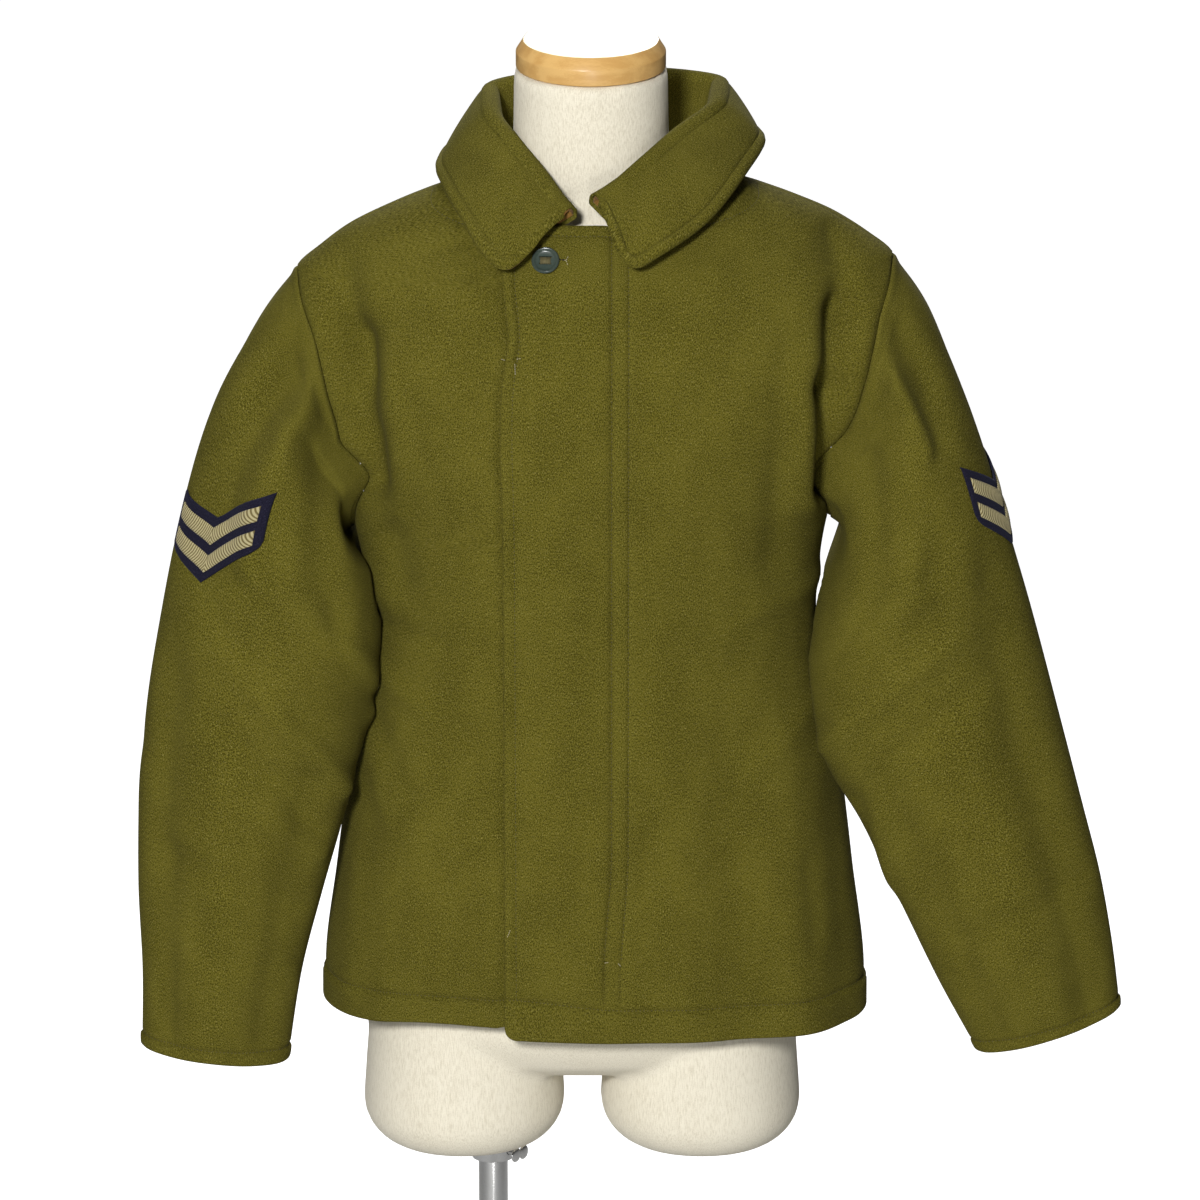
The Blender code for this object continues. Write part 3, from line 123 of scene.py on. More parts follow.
# Finer creases of the body, in the same columns
BODY_CREASES = (
    ("front", -0.176, 1.060, -0.130, 1.030, 0.009, 0.0035),
    ("front", -0.178, 1.095, -0.120, 1.088, 0.008, -0.0028),
    ("front", -0.172, 1.020, -0.140, 0.960, 0.009, -0.0022),
    ("front", -0.181, 1.005, -0.158, 0.935, 0.008, 0.0025),
    ("front", -0.150, 0.930, -0.156, 0.780, 0.010, -0.0018),
    ("front", -0.186, 0.900, -0.196, 0.790, 0.010, 0.0022),
    ("front", 0.176, 1.120, 0.120, 1.105, 0.009, 0.0028),
    ("front", 0.170, 1.060, 0.110, 1.075, 0.008, -0.0026),
    ("front", 0.176, 1.030, 0.130, 0.990, 0.009, 0.0024),
    ("front", 0.166, 0.905, 0.172, 0.845, 0.009, -0.0030),
    ("front", 0.188, 0.960, 0.199, 0.780, 0.012, -0.0024),
    ("front", 0.070, 0.960, 0.074, 0.790, 0.014, 0.0012),
    ("front", 0.196, 1.330, 0.176, 1.260, 0.010, -0.0026),
    ("front", -0.205, 1.330, -0.190, 1.255, 0.011, -0.0028),
    ("front", -0.120, 1.300, -0.112, 1.190, 0.016, 0.0010),
    ("front", -0.196, 1.370, -0.187, 1.300, 0.017, -0.0110),
    ("front", -0.188, 1.320, -0.181, 1.215, 0.018, -0.0230),
    ("front", -0.158, 1.290, -0.156, 1.190, 0.012, 0.0050),
    ("front", -0.132, 1.380, -0.165, 1.330, 0.016, -0.0030),
    ("front", 0.190, 1.390, 0.195, 1.345, 0.016, -0.0110),
    ("front", 0.192, 1.335, 0.184, 1.285, 0.014, -0.0210),
    ("front", 0.186, 1.275, 0.182, 1.200, 0.014, -0.0240),
    ("front", 0.207, 1.370, 0.207, 1.315, 0.008, 0.0030),
    ("front", 0.158, 1.300, 0.158, 1.190, 0.014, 0.0060),
    ("back", -0.060, 1.085, 0.130, 1.075, 0.010, -0.0028),
    ("back", 0.150, 1.050, 0.080, 1.030, 0.009, 0.0024),
    ("back", -0.170, 1.100, -0.110, 1.110, 0.009, 0.0024),
    ("back", -0.168, 1.020, -0.100, 0.985, 0.010, -0.0024),
    ("back", 0.172, 0.990, 0.120, 0.950, 0.009, -0.0022),
    ("back", -0.190, 0.930, -0.200, 0.790, 0.011, -0.0024),
    ("back", 0.186, 0.940, 0.198, 0.790, 0.011, 0.0024),
    ("back", 0.070, 0.950, 0.078, 0.780, 0.013, -0.0020),
    ("back", 0.000, 1.370, 0.006, 1.250, 0.020, -0.0012),
)

# Sleeves, from the armhole to the cuff.
# outer x, outer y, outer z, inner x, inner y, inner z, half depth
SLEEVES = {
    "left": (
        (0.2320, 0.004, 1.3750, 0.1820, 0.004, 1.1690, 0.0700),
        (0.2580, 0.004, 1.3380, 0.1940, -0.008, 1.1580, 0.0760),
        (0.2890, 0.002, 1.2600, 0.1820, -0.038, 1.1300, 0.0760),
        (0.3140, -0.006, 1.1810, 0.1730, -0.058, 1.0900, 0.0710),
        (0.3390, -0.018, 1.1030, 0.1680, -0.064, 1.0490, 0.0665),
        (0.3610, -0.030, 1.0260, 0.1790, -0.069, 0.9900, 0.0620),
        (0.3810, -0.042, 0.9540, 0.2100, -0.070, 0.9340, 0.0560),
        (0.3990, -0.052, 0.8870, 0.2420, -0.070, 0.8670, 0.0500),
        (0.4090, -0.060, 0.8330, 0.2730, -0.069, 0.8030, 0.0450),
        (0.4150, -0.066, 0.7870, 0.3020, -0.068, 0.7500, 0.0410),
    ),
    "right": (
        (-0.2320, 0.004, 1.3650, -0.1820, 0.004, 1.1610, 0.0700),
        (-0.2560, 0.004, 1.3340, -0.1920, -0.009, 1.1560, 0.0760),
        (-0.2940, 0.002, 1.2600, -0.1710, -0.050, 1.1300, 0.0760),
        (-0.3185, -0.006, 1.1810, -0.1690, -0.062, 1.0850, 0.0715),
        (-0.3360, -0.018, 1.1030, -0.1760, -0.068, 1.0380, 0.0670),
        (-0.3500, -0.030, 1.0260, -0.1850, -0.070, 0.9880, 0.0625),
        (-0.3580, -0.042, 0.9510, -0.2000, -0.070, 0.9310, 0.0570),
        (-0.3595, -0.052, 0.8830, -0.2160, -0.069, 0.8740, 0.0510),
        (-0.3575, -0.060, 0.8150, -0.2320, -0.068, 0.8110, 0.0460),
        (-0.3590, -0.064, 0.7550, -0.2430, -0.066, 0.7420, 0.0420),
    ),
}
SLEEVE_SQUARENESS = 2.15
HEAD_LENGTH = 0.30
SLEEVE_LENGTH = 0.62
SLEEVE_TOP_Z = 1.37
SLEEVE_RADIUS = 0.070
SLEEVE_CLEARANCE = 0.0028
# side, angle in degrees (0 outer, 90 front, 180 inner, 270 back) and share of the length at one
# end, the same at the other, half width, height
SLEEVE_FOLDS = (
    ("right", 78, 0.06, 88, 0.17, 0.013, 0.0065),
    ("right", 110, 0.12, 124, 0.30, 0.012, -0.0060),
    ("right", 52, 0.08, 58, 0.18, 0.013, -0.0045),
    ("right", 95, 0.47, 168, 0.60, 0.012, 0.0060),
    ("right", 85, 0.54, 150, 0.66, 0.011, -0.0045),
    ("right", 150, 0.36, 185, 0.42, 0.014, 0.0060),
    ("right", 285, 0.10, 275, 0.42, 0.015, 0.0060),
    ("right", 230, 0.14, 250, 0.40, 0.014, -0.0050),
    ("right", 190, 0.48, 262, 0.58, 0.013, 0.0050),
    ("right", 60, 0.72, 150, 0.78, 0.012, -0.0030),
    ("left", 72, 0.08, 100, 0.36, 0.013, 0.0065),
    ("left", 108, 0.10, 130, 0.34, 0.012, -0.0060),
    ("left", 42, 0.06, 50, 0.16, 0.012, -0.0045),
    ("left", 90, 0.44, 172, 0.54, 0.012, 0.0060),
    ("left", 80, 0.50, 165, 0.62, 0.011, -0.0045),
    ("left", 140, 0.62, 175, 0.74, 0.012, 0.0040),
    ("left", 282, 0.09, 272, 0.40, 0.015, 0.0060),
    ("left", 228, 0.13, 246, 0.42, 0.014, -0.0050),
    ("left", 196, 0.50, 266, 0.60, 0.013, 0.0050),
    ("left", 40, 0.76, 130, 0.82, 0.012, -0.0030),
)
SLEEVE_CREASES = (
    ("right", 100, 0.64, 160, 0.70, 0.009, 0.0028),
    ("right", 70, 0.40, 130, 0.52, 0.010, -0.0024),
    ("right", 120, 0.82, 165, 0.90, 0.010, 0.0020),
    ("right", 250, 0.62, 300, 0.70, 0.011, 0.0030),
    ("right", 320, 0.55, 20, 0.60, 0.012, -0.0014),
    ("right", 84, 0.06, 88, 0.34, 0.009, 0.0070),
    ("right", 56, 0.06, 58, 0.36, 0.019, -0.0075),
    ("right", 50, 0.50, 52, 0.96, 0.018, -0.0060),
    ("right", 136, 0.60, 132, 0.96, 0.018, -0.0045),
    ("right", 66, 0.08, 68, 0.30, 0.010, -0.0040),
    ("right", 122, 0.14, 140, 0.34, 0.013, -0.0070),
    ("right", 100, 0.33, 112, 0.52, 0.012, 0.0030),
    ("right", 40, 0.70, 100, 0.86, 0.016, -0.0020),
    ("right", 90, 0.62, 96, 0.94, 0.018, 0.0030),
    ("left", 95, 0.30, 60, 0.42, 0.010, 0.0022),
    ("left", 110, 0.64, 160, 0.70, 0.009, -0.0026),
    ("left", 90, 0.84, 150, 0.92, 0.010, 0.0020),
    ("left", 250, 0.60, 300, 0.68, 0.011, 0.0030),
    ("left", 66, 0.05, 76, 0.20, 0.009, 0.0070),
    ("left", 52, 0.06, 60, 0.20, 0.016, -0.0060),
    ("left", 62, 0.40, 56, 0.96, 0.020, -0.0060),
    ("left", 134, 0.62, 132, 0.96, 0.018, -0.0045),
    ("left", 88, 0.20, 92, 0.34, 0.011, -0.0060),
    ("left", 74, 0.34, 78, 0.56, 0.014, 0.0025),
    ("left", 80, 0.66, 84, 0.94, 0.018, 0.0028),
)

# Collar, from the wearer's right front end round the back to the left one.
# angle on the neckline (degrees, 270 is the centre front), crest x, y, z, edge x, y, z
COLLAR_STATIONS = (
    (-98.0, -0.0190, -0.0860, 1.4200, -0.0520, -0.1120, 1.3860),
    (-101.0, -0.0230, -0.0850, 1.4240, -0.0670, -0.1120, 1.3800),
    (-106.0, -0.0290, -0.0800, 1.4300, -0.0820, -0.1060, 1.3900),
    (-122.0, -0.0440, -0.0650, 1.4480, -0.0990, -0.0800, 1.4130),
    (-148.0, -0.0640, -0.0360, 1.4680, -0.1130, -0.0400, 1.4300),
    (-175.0, -0.0800, 0.0050, 1.4850, -0.1190, 0.0060, 1.4390),
    (-215.0, -0.0820, 0.0520, 1.4960, -0.1080, 0.0700, 1.4460),
    (-250.0, -0.0350, 0.0820, 1.5030, -0.0500, 0.1150, 1.4420),
    (-270.0, 0.0050, 0.0860, 1.5050, 0.0050, 0.1210, 1.4400),
    (-290.0, 0.0480, 0.0820, 1.5050, 0.0600, 0.1140, 1.4440),
    (-325.0, 0.0980, 0.0540, 1.5010, 0.1190, 0.0680, 1.4600),
    (-365.0, 0.0950, 0.0060, 1.4920, 0.1280, 0.0120, 1.4580),
    (-392.0, 0.0660, -0.0380, 1.4750, 0.1140, -0.0400, 1.4430),
    (-416.0, 0.0420, -0.0640, 1.4580, 0.0840, -0.0860, 1.4130),
    (-434.0, 0.0180, -0.0800, 1.4400, 0.0500, -0.1080, 1.3920),
    (-442.0, 0.0060, -0.0850, 1.4330, 0.0300, -0.1130, 1.3820),
    (-446.0, 0.0000, -0.0870, 1.4300, 0.0180, -0.1130, 1.3860),
)
COLLAR_LAYER = 0.0021  # thickness of the collar's face, and of its undercollar
COLLAR_SOFT_EDGE = 0.0005
LAYER_GAP = 0.0009  # between the two
UNDER_INSET = 0.0038  # how far the undercollar stops short of the collar's two ends
COLLAR_ROLL = 0.0042  # radius of the turn at the collar's crest
COLLAR_LIFT = 0.0008  # how far the leaf stays off the shoulders
LEAF_BULGE = 0.0035  # how far the leaf bows out between its crest and its edge
LEAF_LENGTH = 0.048
LEAF_CORNER = 0.016  # radius of the collar's rounded front corner
LEAF_PUFF = 0.0019  # how far its edge stands out beyond its stitches


# ---------------------------------------------------------------- numbers


def curve(table, column):
    """The function that runs smoothly through one column of a table, for arrays of places."""
    xs = np.array([row[0] for row in table], float)
    ys = np.array([row[column] for row in table], float)
    steps = np.diff(ys) / np.diff(xs)
    slopes = [steps[0]]
    for before, after in zip(steps, steps[1:]):
        slopes.append(2 * before * after / (before + after) if before * after > 0 else 0.0)
    slopes = np.array(slopes + [steps[-1]])

    def value(x):
        x = np.clip(x, xs[0], xs[-1])
        i = np.clip(np.searchsorted(xs, x, side="right") - 1, 0, len(xs) - 2)
        width = xs[i + 1] - xs[i]
        t = (x - xs[i]) / width
        start = (1 + 2 * t) * (1 - t) ** 2 * ys[i] + t * (1 - t) ** 2 * width * slopes[i]
        end = t * t * (3 - 2 * t) * ys[i + 1] + t * t * (t - 1) * width * slopes[i + 1]
        return start + end

    return value


def smoothstep(low, high, x):
    t = np.clip((x - low) / (high - low), 0.0, 1.0)
    return t * t * (3 - 2 * t)


def signed_power(value, power):
    return np.sign(value) * np.abs(value) ** power


def unit(vectors):
    return vectors / np.maximum(np.linalg.norm(vectors, axis=-1, keepdims=True), 1e-12)


def off_segment(px, py, ax, ay, bx, by):
    """How far points lie from the stretch between a and b."""
    dx, dy = bx - ax, by - ay
    t = np.clip(((px - ax) * dx + (py - ay) * dy) / (dx * dx + dy * dy), 0.0, 1.0)
    return np.hypot(px - ax - t * dx, py - ay - t * dy)


def groove(distance, width, depth):
    """The dip of a sewn line, at a distance from it."""
    return -depth * np.exp(-((distance / width) ** 2))


def rolled_edge(distance, radius=0.0030, drop=0.0013):
    """How far a folded edge rolls in, at a distance from it."""
    inset = np.clip(1 - distance / radius, 0.0, 1.0)
    return -drop * (1 - np.sqrt(np.maximum(1 - inset * inset, 0.0)))


# ---------------------------------------------------------------- the worn shape of the body

half_width = curve(BODY_SECTIONS, 1)
front_depth = curve(BODY_SECTIONS, 2)
back_depth = curve(BODY_SECTIONS, 3)
squareness = curve(BODY_SECTIONS, 4)
armhole_edge = curve(ARMHOLE_EDGE, 1)
tilt = curve(TILT, 1)


def body_fold(x, y, z, fine):
    height = np.zeros_like(x)
    frontness = 1.0 / (1.0 + np.exp(np.clip(y / 0.008, -40, 40)))
    for face, ax, az, bx, bz, width, rise in BODY_FOLDS + (BODY_CREASES if fine else ()):
        near = np.exp(-((off_segment(x, z, ax, az, bx, bz) / width) ** 2))
        height += rise * near * (frontness if face == "front" else 1.0 - frontness)
    return height


def body_point(angle, z, fine=True):
    """The outer face of the cloth: angle 0 is the wearer's left side, -90 degrees the front."""
    power = 2.0 / squareness(z)
    width = half_width(z)
    depth = np.where(np.sin(angle) > 0, back_depth(z), front_depth(z))
    x = width * signed_power(np.cos(angle), power)
    y = depth * signed_power(np.sin(angle), power)
    outward = unit(np.stack([x / width**2, y / depth**2], axis=-1))
    fold = body_fold(x, y, z, fine)
    x = x + fold * outward[..., 0]
    y = y + fold * outward[..., 1]
    return np.stack([x, y, z + tilt(z) * x], axis=-1)


def body_normal(angle, z):
    across = body_point(angle + 0.01, z, False) - body_point(angle - 0.01, z, False)
    up = body_point(angle, z + 0.0015, False) - body_point(angle, z - 0.0015, False)
    return unit(np.cross(across, up))


def angle_at_x(x, z):
    """The angle in the first quarter where the section's edge lies x from the centre plane."""
    return np.arccos(np.minimum(np.abs(x) / half_width(z), 1.0) ** (squareness(z) / 2.0))


def angle_at_y(y, z):
    return np.arcsin(np.minimum(np.abs(y) / front_depth(z), 1.0) ** (squareness(z) / 2.0))


def side_angle(z):
    seam = angle_at_y(SEAM_GAP / 2, z)
    in_armhole = (z > ARMPIT_Z) & (z < SHOULDER_Z)
    return np.where(in_armhole, np.maximum(seam, angle_at_x(armhole_edge(z), z)), seam)


def row_height(z, angle):
    """The height of a row at an angle, for the neckline that drops at the front."""
    share = np.where(z > SHOULDER_Z, smoothstep(SHOULDER_Z - 0.01, NECK_Z, z), 0.0)
    turn = np.sin(angle)
    drop = np.where(turn < 0, -NECK_FRONT_DROP, NECK_BACK_RISE) * turn * turn
    return z + share * drop


# ---------------------------------------------------------------- laying cloth out

HEM_STITCH = 0.026  # from the hem's edge to its stitches
HEM_STITCH_RISE = 0.007  # how much higher they run at the front's free edge
CUFF_STITCH = 0.011
NECK_STITCH = 0.0085
EDGE_STITCH = 0.0090
COLLAR_STITCH = 0.0075
FLY_LINES = (0.0129, 0.0258)  # x of the two rows of the fly's stitches
FLY_LEAN = -0.0062  # how far they turn aside below FLY_BEND_Z
FLY_BEND_Z = (0.925, 0.825)
EDGE_TACK_Z = 1.311  # above it the free edge's stitched line is pressed in fully
FLY_TACK_Z = 0.8375  # low end of the fly's stitches


def stations(start, end, step, lines=(), ends=(True, True)):
    """Places along a strip: even, closer at its ends, and five across each sewn line."""
    places = set(np.round(np.linspace(start, end, max(2, int(round((end - start) / step)) + 1)), 6))
    for line in lines:
        places = {p for p in places if abs(p - line) > 0.0040}
        places |= {line + offset for offset in (-0.0034, -0.0016, -0.0007, 0.0, 0.0007, 0.0016, 0.0034)}
    for at_end, sign, wanted in ((start, 1, ends[0]), (end, -1, ends[1])):
        if wanted:
            places = {p for p in places if abs(p - at_end) > 0.0064 or p == at_end}
            places |= {at_end + sign * offset for offset in (0.0, 0.0012, 0.0024, 0.0040, 0.0060)}
    return np.array(sorted(p for p in places if start - 1e-9 <= p <= end + 1e-9))


def grid_mesh(points, uvs, closed=False):
    """A sheet whose vertices are placed row by row; closed joins its last column to its first."""
    rows, columns = points.shape[:2]
    bm = bmesh.new()
    layer = bm.loops.layers.uv.new("cut")
    bmesh.ops.create_grid(bm, x_segments=columns - 1, y_segments=rows - 1, size=0.5)
    bm.verts.ensure_lookup_table()
    flat, laid = points.reshape(-1, 3), uvs.reshape(-1, 2)
    for index, vert in enumerate(bm.verts):
        column = int(round((vert.co.x + 0.5) * (columns - 1)))
        row = int(round((vert.co.y + 0.5) * (rows - 1)))
        place = row * columns + column
        vert.co = flat[place]
        for loop in vert.link_loops:
            loop[layer].uv = laid[place]
    if closed:
        bmesh.ops.remove_doubles(bm, verts=bm.verts, dist=2e-5)
    return bm


def finish_piece(name, bm, finish, outward=None):
    """An object of the mesh, with its faces pointing the way outward(centre) says."""
    bm.normal_update()
    if outward is not None:
        votes = 0.0
        for face in bm.faces:
            votes += face.calc_area() * face.normal.dot(outward(face.calc_center_median()))
        if votes < 0:
            bmesh.ops.reverse_faces(bm, faces=bm.faces)
    mesh = bpy.data.meshes.new(name)
    bm.to_mesh(mesh)
    bm.free()
    mesh.shade_smooth()
    mesh.materials.append(finish)
    made = bpy.data.objects.new(name, mesh)
    bpy.context.scene.collection.objects.link(made)
    return made


def thicken(piece, thickness, edge):
    """Gives a sheet its thickness, inwards, with softened cut edges."""
    solid = piece.modifiers.new("thickness", "SOLIDIFY")
    solid.thickness = thickness
    solid.offset = -1.0
    solid.use_rim = True
    solid.use_even_offset = False
    if edge:
        bevel = piece.modifiers.new("soft edge", "BEVEL")
        bevel.width = edge
        bevel.segments = 2
        bevel.limit_method = "ANGLE"
        bevel.angle_limit = math.radians(62)


def area_of(piece):
    return sum(polygon.area for polygon in piece.data.polygons)


def worn(piece, body="form"):
    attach(piece, body)
    return piece


# ---------------------------------------------------------------- front and back

ROW_STEP = 0.0042
COLUMN_STEP = 0.0042
BACK_WIDTH = 0.50
LOWER_WIDTH = 0.235
UPPER_PLACES_END = 0.250
STRAIGHT_X = 0.050  # up to here the upper front's columns are places in x, and beyond it shares
WIDEST_X = 0.075


def body_heights():
    low = stations(HEM_Z, ARMPIT_Z, ROW_STEP, lines=[HEM_Z + HEM_STITCH], ends=(True, False))
    armpit = ARMPIT_Z + np.array([0.0008, 0.0020, 0.0038, 0.0062])
    middle = np.linspace(ARMPIT_Z + 0.0090, SHOULDER_Z, 50)
    top = stations(SHOULDER_Z + 0.0035, NECK_Z, 0.0028, lines=[NECK_Z - NECK_STITCH], ends=(False, True))
    return np.concatenate([low, armpit, middle, top]), len(low) - 1, len(low) + 3 + 50


HEIGHTS, ARMPIT_ROW, SHOULDER_ROW = body_heights()


def edge_wave(z):
    """How the upper front's free edge wanders below the collar."""
    return 0.0050 * np.exp(-(((z - 1.330) / 0.026) ** 2)) - 0.0018 * np.exp(-(((z - 1.255) / 0.05) ** 2))


def panel_angles(panel, z, places):
    side = side_angle(z)
    middle = row_height(z, -math.pi / 2)
    if panel == "back":
        return side + (math.pi - 2 * side) * places
    if panel == "upper":
        xs = np.maximum(places, UPPER_FRONT_EDGE_X)
        xs = xs + edge_wave(middle) * (1 - smoothstep(UPPER_FRONT_EDGE_X, -0.030, xs))
        xs = xs + FLY_LEAN * smoothstep(*FLY_BEND_Z, middle) * np.exp(-(((places - 0.019) / 0.020) ** 2))
        scale = np.minimum(1.0, 0.9 * half_width(middle) / WIDEST_X)
        straight = -math.pi / 2 + np.sign(xs) * (math.pi / 2 - angle_at_x(xs * scale, middle))
        start = -math.pi / 2 + (math.pi / 2 - angle_at_x(STRAIGHT_X * scale, middle))
        share = np.clip((places - STRAIGHT_X) / (UPPER_PLACES_END - STRAIGHT_X), 0.0, 1.0)
        return np.where(places <= STRAIGHT_X, straight, start + (-side - start) * share)
    end = -math.pi + angle_at_x(LOWER_FRONT_EDGE_X, middle)
    return -math.pi + side + (end + math.pi - side) * places


def panel_places(panel):
    if panel == "back":
        return stations(0.0, BACK_WIDTH, COLUMN_STEP) / BACK_WIDTH
    if panel == "upper":
        lines = [UPPER_FRONT_EDGE_X + EDGE_STITCH, *FLY_LINES]
        return stations(UPPER_FRONT_EDGE_X, UPPER_PLACES_END, COLUMN_STEP, lines=lines)
    return stations(0.0, LOWER_WIDTH, COLUMN_STEP) / LOWER_WIDTH


LAP_TUCK = 0.0060  # how much deeper the lower front dips under the free edge
HEM_PUFF = 0.0022  # how far the turned-up hem stands out


def middle_height(z):
    return float(row_height(np.array(z), np.array(-math.pi / 2)))


def panel_lift(panel, z, row, x, places, across, to_end, front_z):
    """How far the cloth stands out or dips at its sewn lines, edges and laps."""
    above_hem = z - HEM_Z
    lift = np.full_like(x, groove(above_hem - HEM_STITCH, 0.0019, 0.0014) + rolled_edge(above_hem))
    lift += HEM_PUFF * smoothstep(HEM_STITCH, HEM_STITCH - 0.005, above_hem)
    sides = {"back": (across, to_end), "upper": (to_end,), "lower": (across,)}[panel]
    seam_depth = 0.0014 if ARMPIT_ROW < row < SHOULDER_ROW else 0.0010
    for distance in sides:
        lift += groove(distance, 0.0034, seam_depth)
    lift += rolled_edge(NECK_Z - z) + groove(NECK_Z - z - NECK_STITCH, 0.0015, 0.0009)
    if panel == "upper":
        inside = places - UPPER_FRONT_EDGE_X
        lift += LAP_OUT * (1 - smoothstep(0.000, 0.045, x)) + rolled_edge(inside, 0.0022)
        low_end = smoothstep(HEM_Z + HEM_STITCH, HEM_Z + HEM_STITCH + 0.008, z)
        for line, depth in zip(FLY_LINES, (0.0018, 0.0011)):
            pressed = groove(places - line, 0.0017, depth) + groove(places - line, 0.0065, depth / 2)
            lift += pressed * low_end
        lift += 0.0006 * ((places > FLY_LINES[0]) & (places < FLY_LINES[1])) * low_end
        stitched = 0.45 + 0.55 * smoothstep(EDGE_TACK_Z - 0.006, EDGE_TACK_Z + 0.002, front_z)
        lift += stitched * groove(inside - EDGE_STITCH, 0.0017, 0.0015) * low_end
        lift += stitched * 0.0016 * smoothstep(EDGE_STITCH, EDGE_STITCH - 0.004, inside)
    if panel == "lower":
        edge = UPPER_FRONT_EDGE_X + edge_wave(front_z)
        lift -= LAP_IN * smoothstep(-0.105, -0.080, x) + LAP_TUCK * smoothstep(edge - 0.0050, edge, x)
        lift += rolled_edge(to_end)
    return lift


def lay_panel(panel):
    """Points and cut coordinates of a body panel."""
    places = panel_places(panel)
    points, uvs = [], []
    for row, z in enumerate(HEIGHTS):
        angles = panel_angles(panel, z, places)
        heights = row_height(z, angles)
        flat = body_point(angles, heights)
        x = flat[:, 0]
        rise = np.zeros_like(x)
        if panel == "lower":
            rise = LOWER_HEM_RISE * smoothstep(-0.20, -0.13, x) * np.clip(1 - (z - HEM_Z) / 0.05, 0, 1)
        if panel == "upper":
            inset = np.clip(HEM_CORNER - (x - UPPER_FRONT_EDGE_X), 0.0, HEM_CORNER)
            corner = HEM_CORNER - np.sqrt(np.maximum(HEM_CORNER**2 - inset**2, 0.0))
            rise = corner * np.clip(1 - (z - HEM_Z) / 0.016, 0, 1)
            at_stitch = math.exp(-(((z - HEM_Z - HEM_STITCH) / 0.014) ** 2))
            rise += HEM_STITCH_RISE * at_stitch * (1 - smoothstep(UPPER_FRONT_EDGE_X, 0.030, x))
        heights = heights + rise
        normals = body_normal(angles, heights)
        placed = body_point(angles, heights)
        steps = np.linalg.norm(np.diff(placed, axis=0), axis=1)
        across = np.concatenate([[0.0], np.cumsum(steps)])
        lift = panel_lift(panel, z, row, x, places, across, across[-1] - across, middle_height(z))
        points.append(placed + lift[:, None] * normals)
        uvs.append(np.stack([across, np.full_like(across, z)], axis=-1))
    return np.array(points), np.array(uvs)


def outward_from_middle(centre):
    return Vector((centre.x, centre.y, 0.0)).normalized()


# ---------------------------------------------------------------- sleeves


def tree_of(points, normals):
    tree = KDTree(len(points))
    for i, point in enumerate(points):
        tree.insert(point, i)
    tree.balance()
    return tree, points, normals


def pushed_clear(points, samples, gap):
    """The points, each moved out along the nearest sample's normal until it is gap away."""
    tree, places, normals = samples
    moved = points.copy()
    for i, point in enumerate(points):
        _, nearest, _ = tree.find(point)
        height = (point - places[nearest]) @ normals[nearest]
        moved[i] += max(gap - height, 0.0) * normals[nearest]
    return moved


SIDE_SHARE = 0.35  # least cosine of an angle that counts as the body's side


def side_samples():
    """The body's sides, which the sleeves hang clear of."""
    points, normals = [], []
    turns = np.radians(np.arange(-180, 180, 2.0))
    off_side = np.abs(np.arctan2(np.sin(turns), np.abs(np.cos(turns))))
    for z in np.arange(0.90, 1.36, 0.005):
        limit = side_angle(np.array([z]))[0]
        kept = turns[(np.abs(np.cos(turns)) >= SIDE_SHARE) & (off_side >= limit)]
        if len(kept):
            points.append(body_point(kept, np.full_like(kept, z)))
            normals.append(body_normal(kept, np.full_like(kept, z)))
    return tree_of(np.concatenate(points), np.concatenate(normals))


CUFF_PUFF = 0.0014  # how far the turned-up cuff stands out
SLEEVE_PLACES = stations(0.0, SLEEVE_LENGTH, 0.0042, lines=[SLEEVE_LENGTH - CUFF_STITCH])


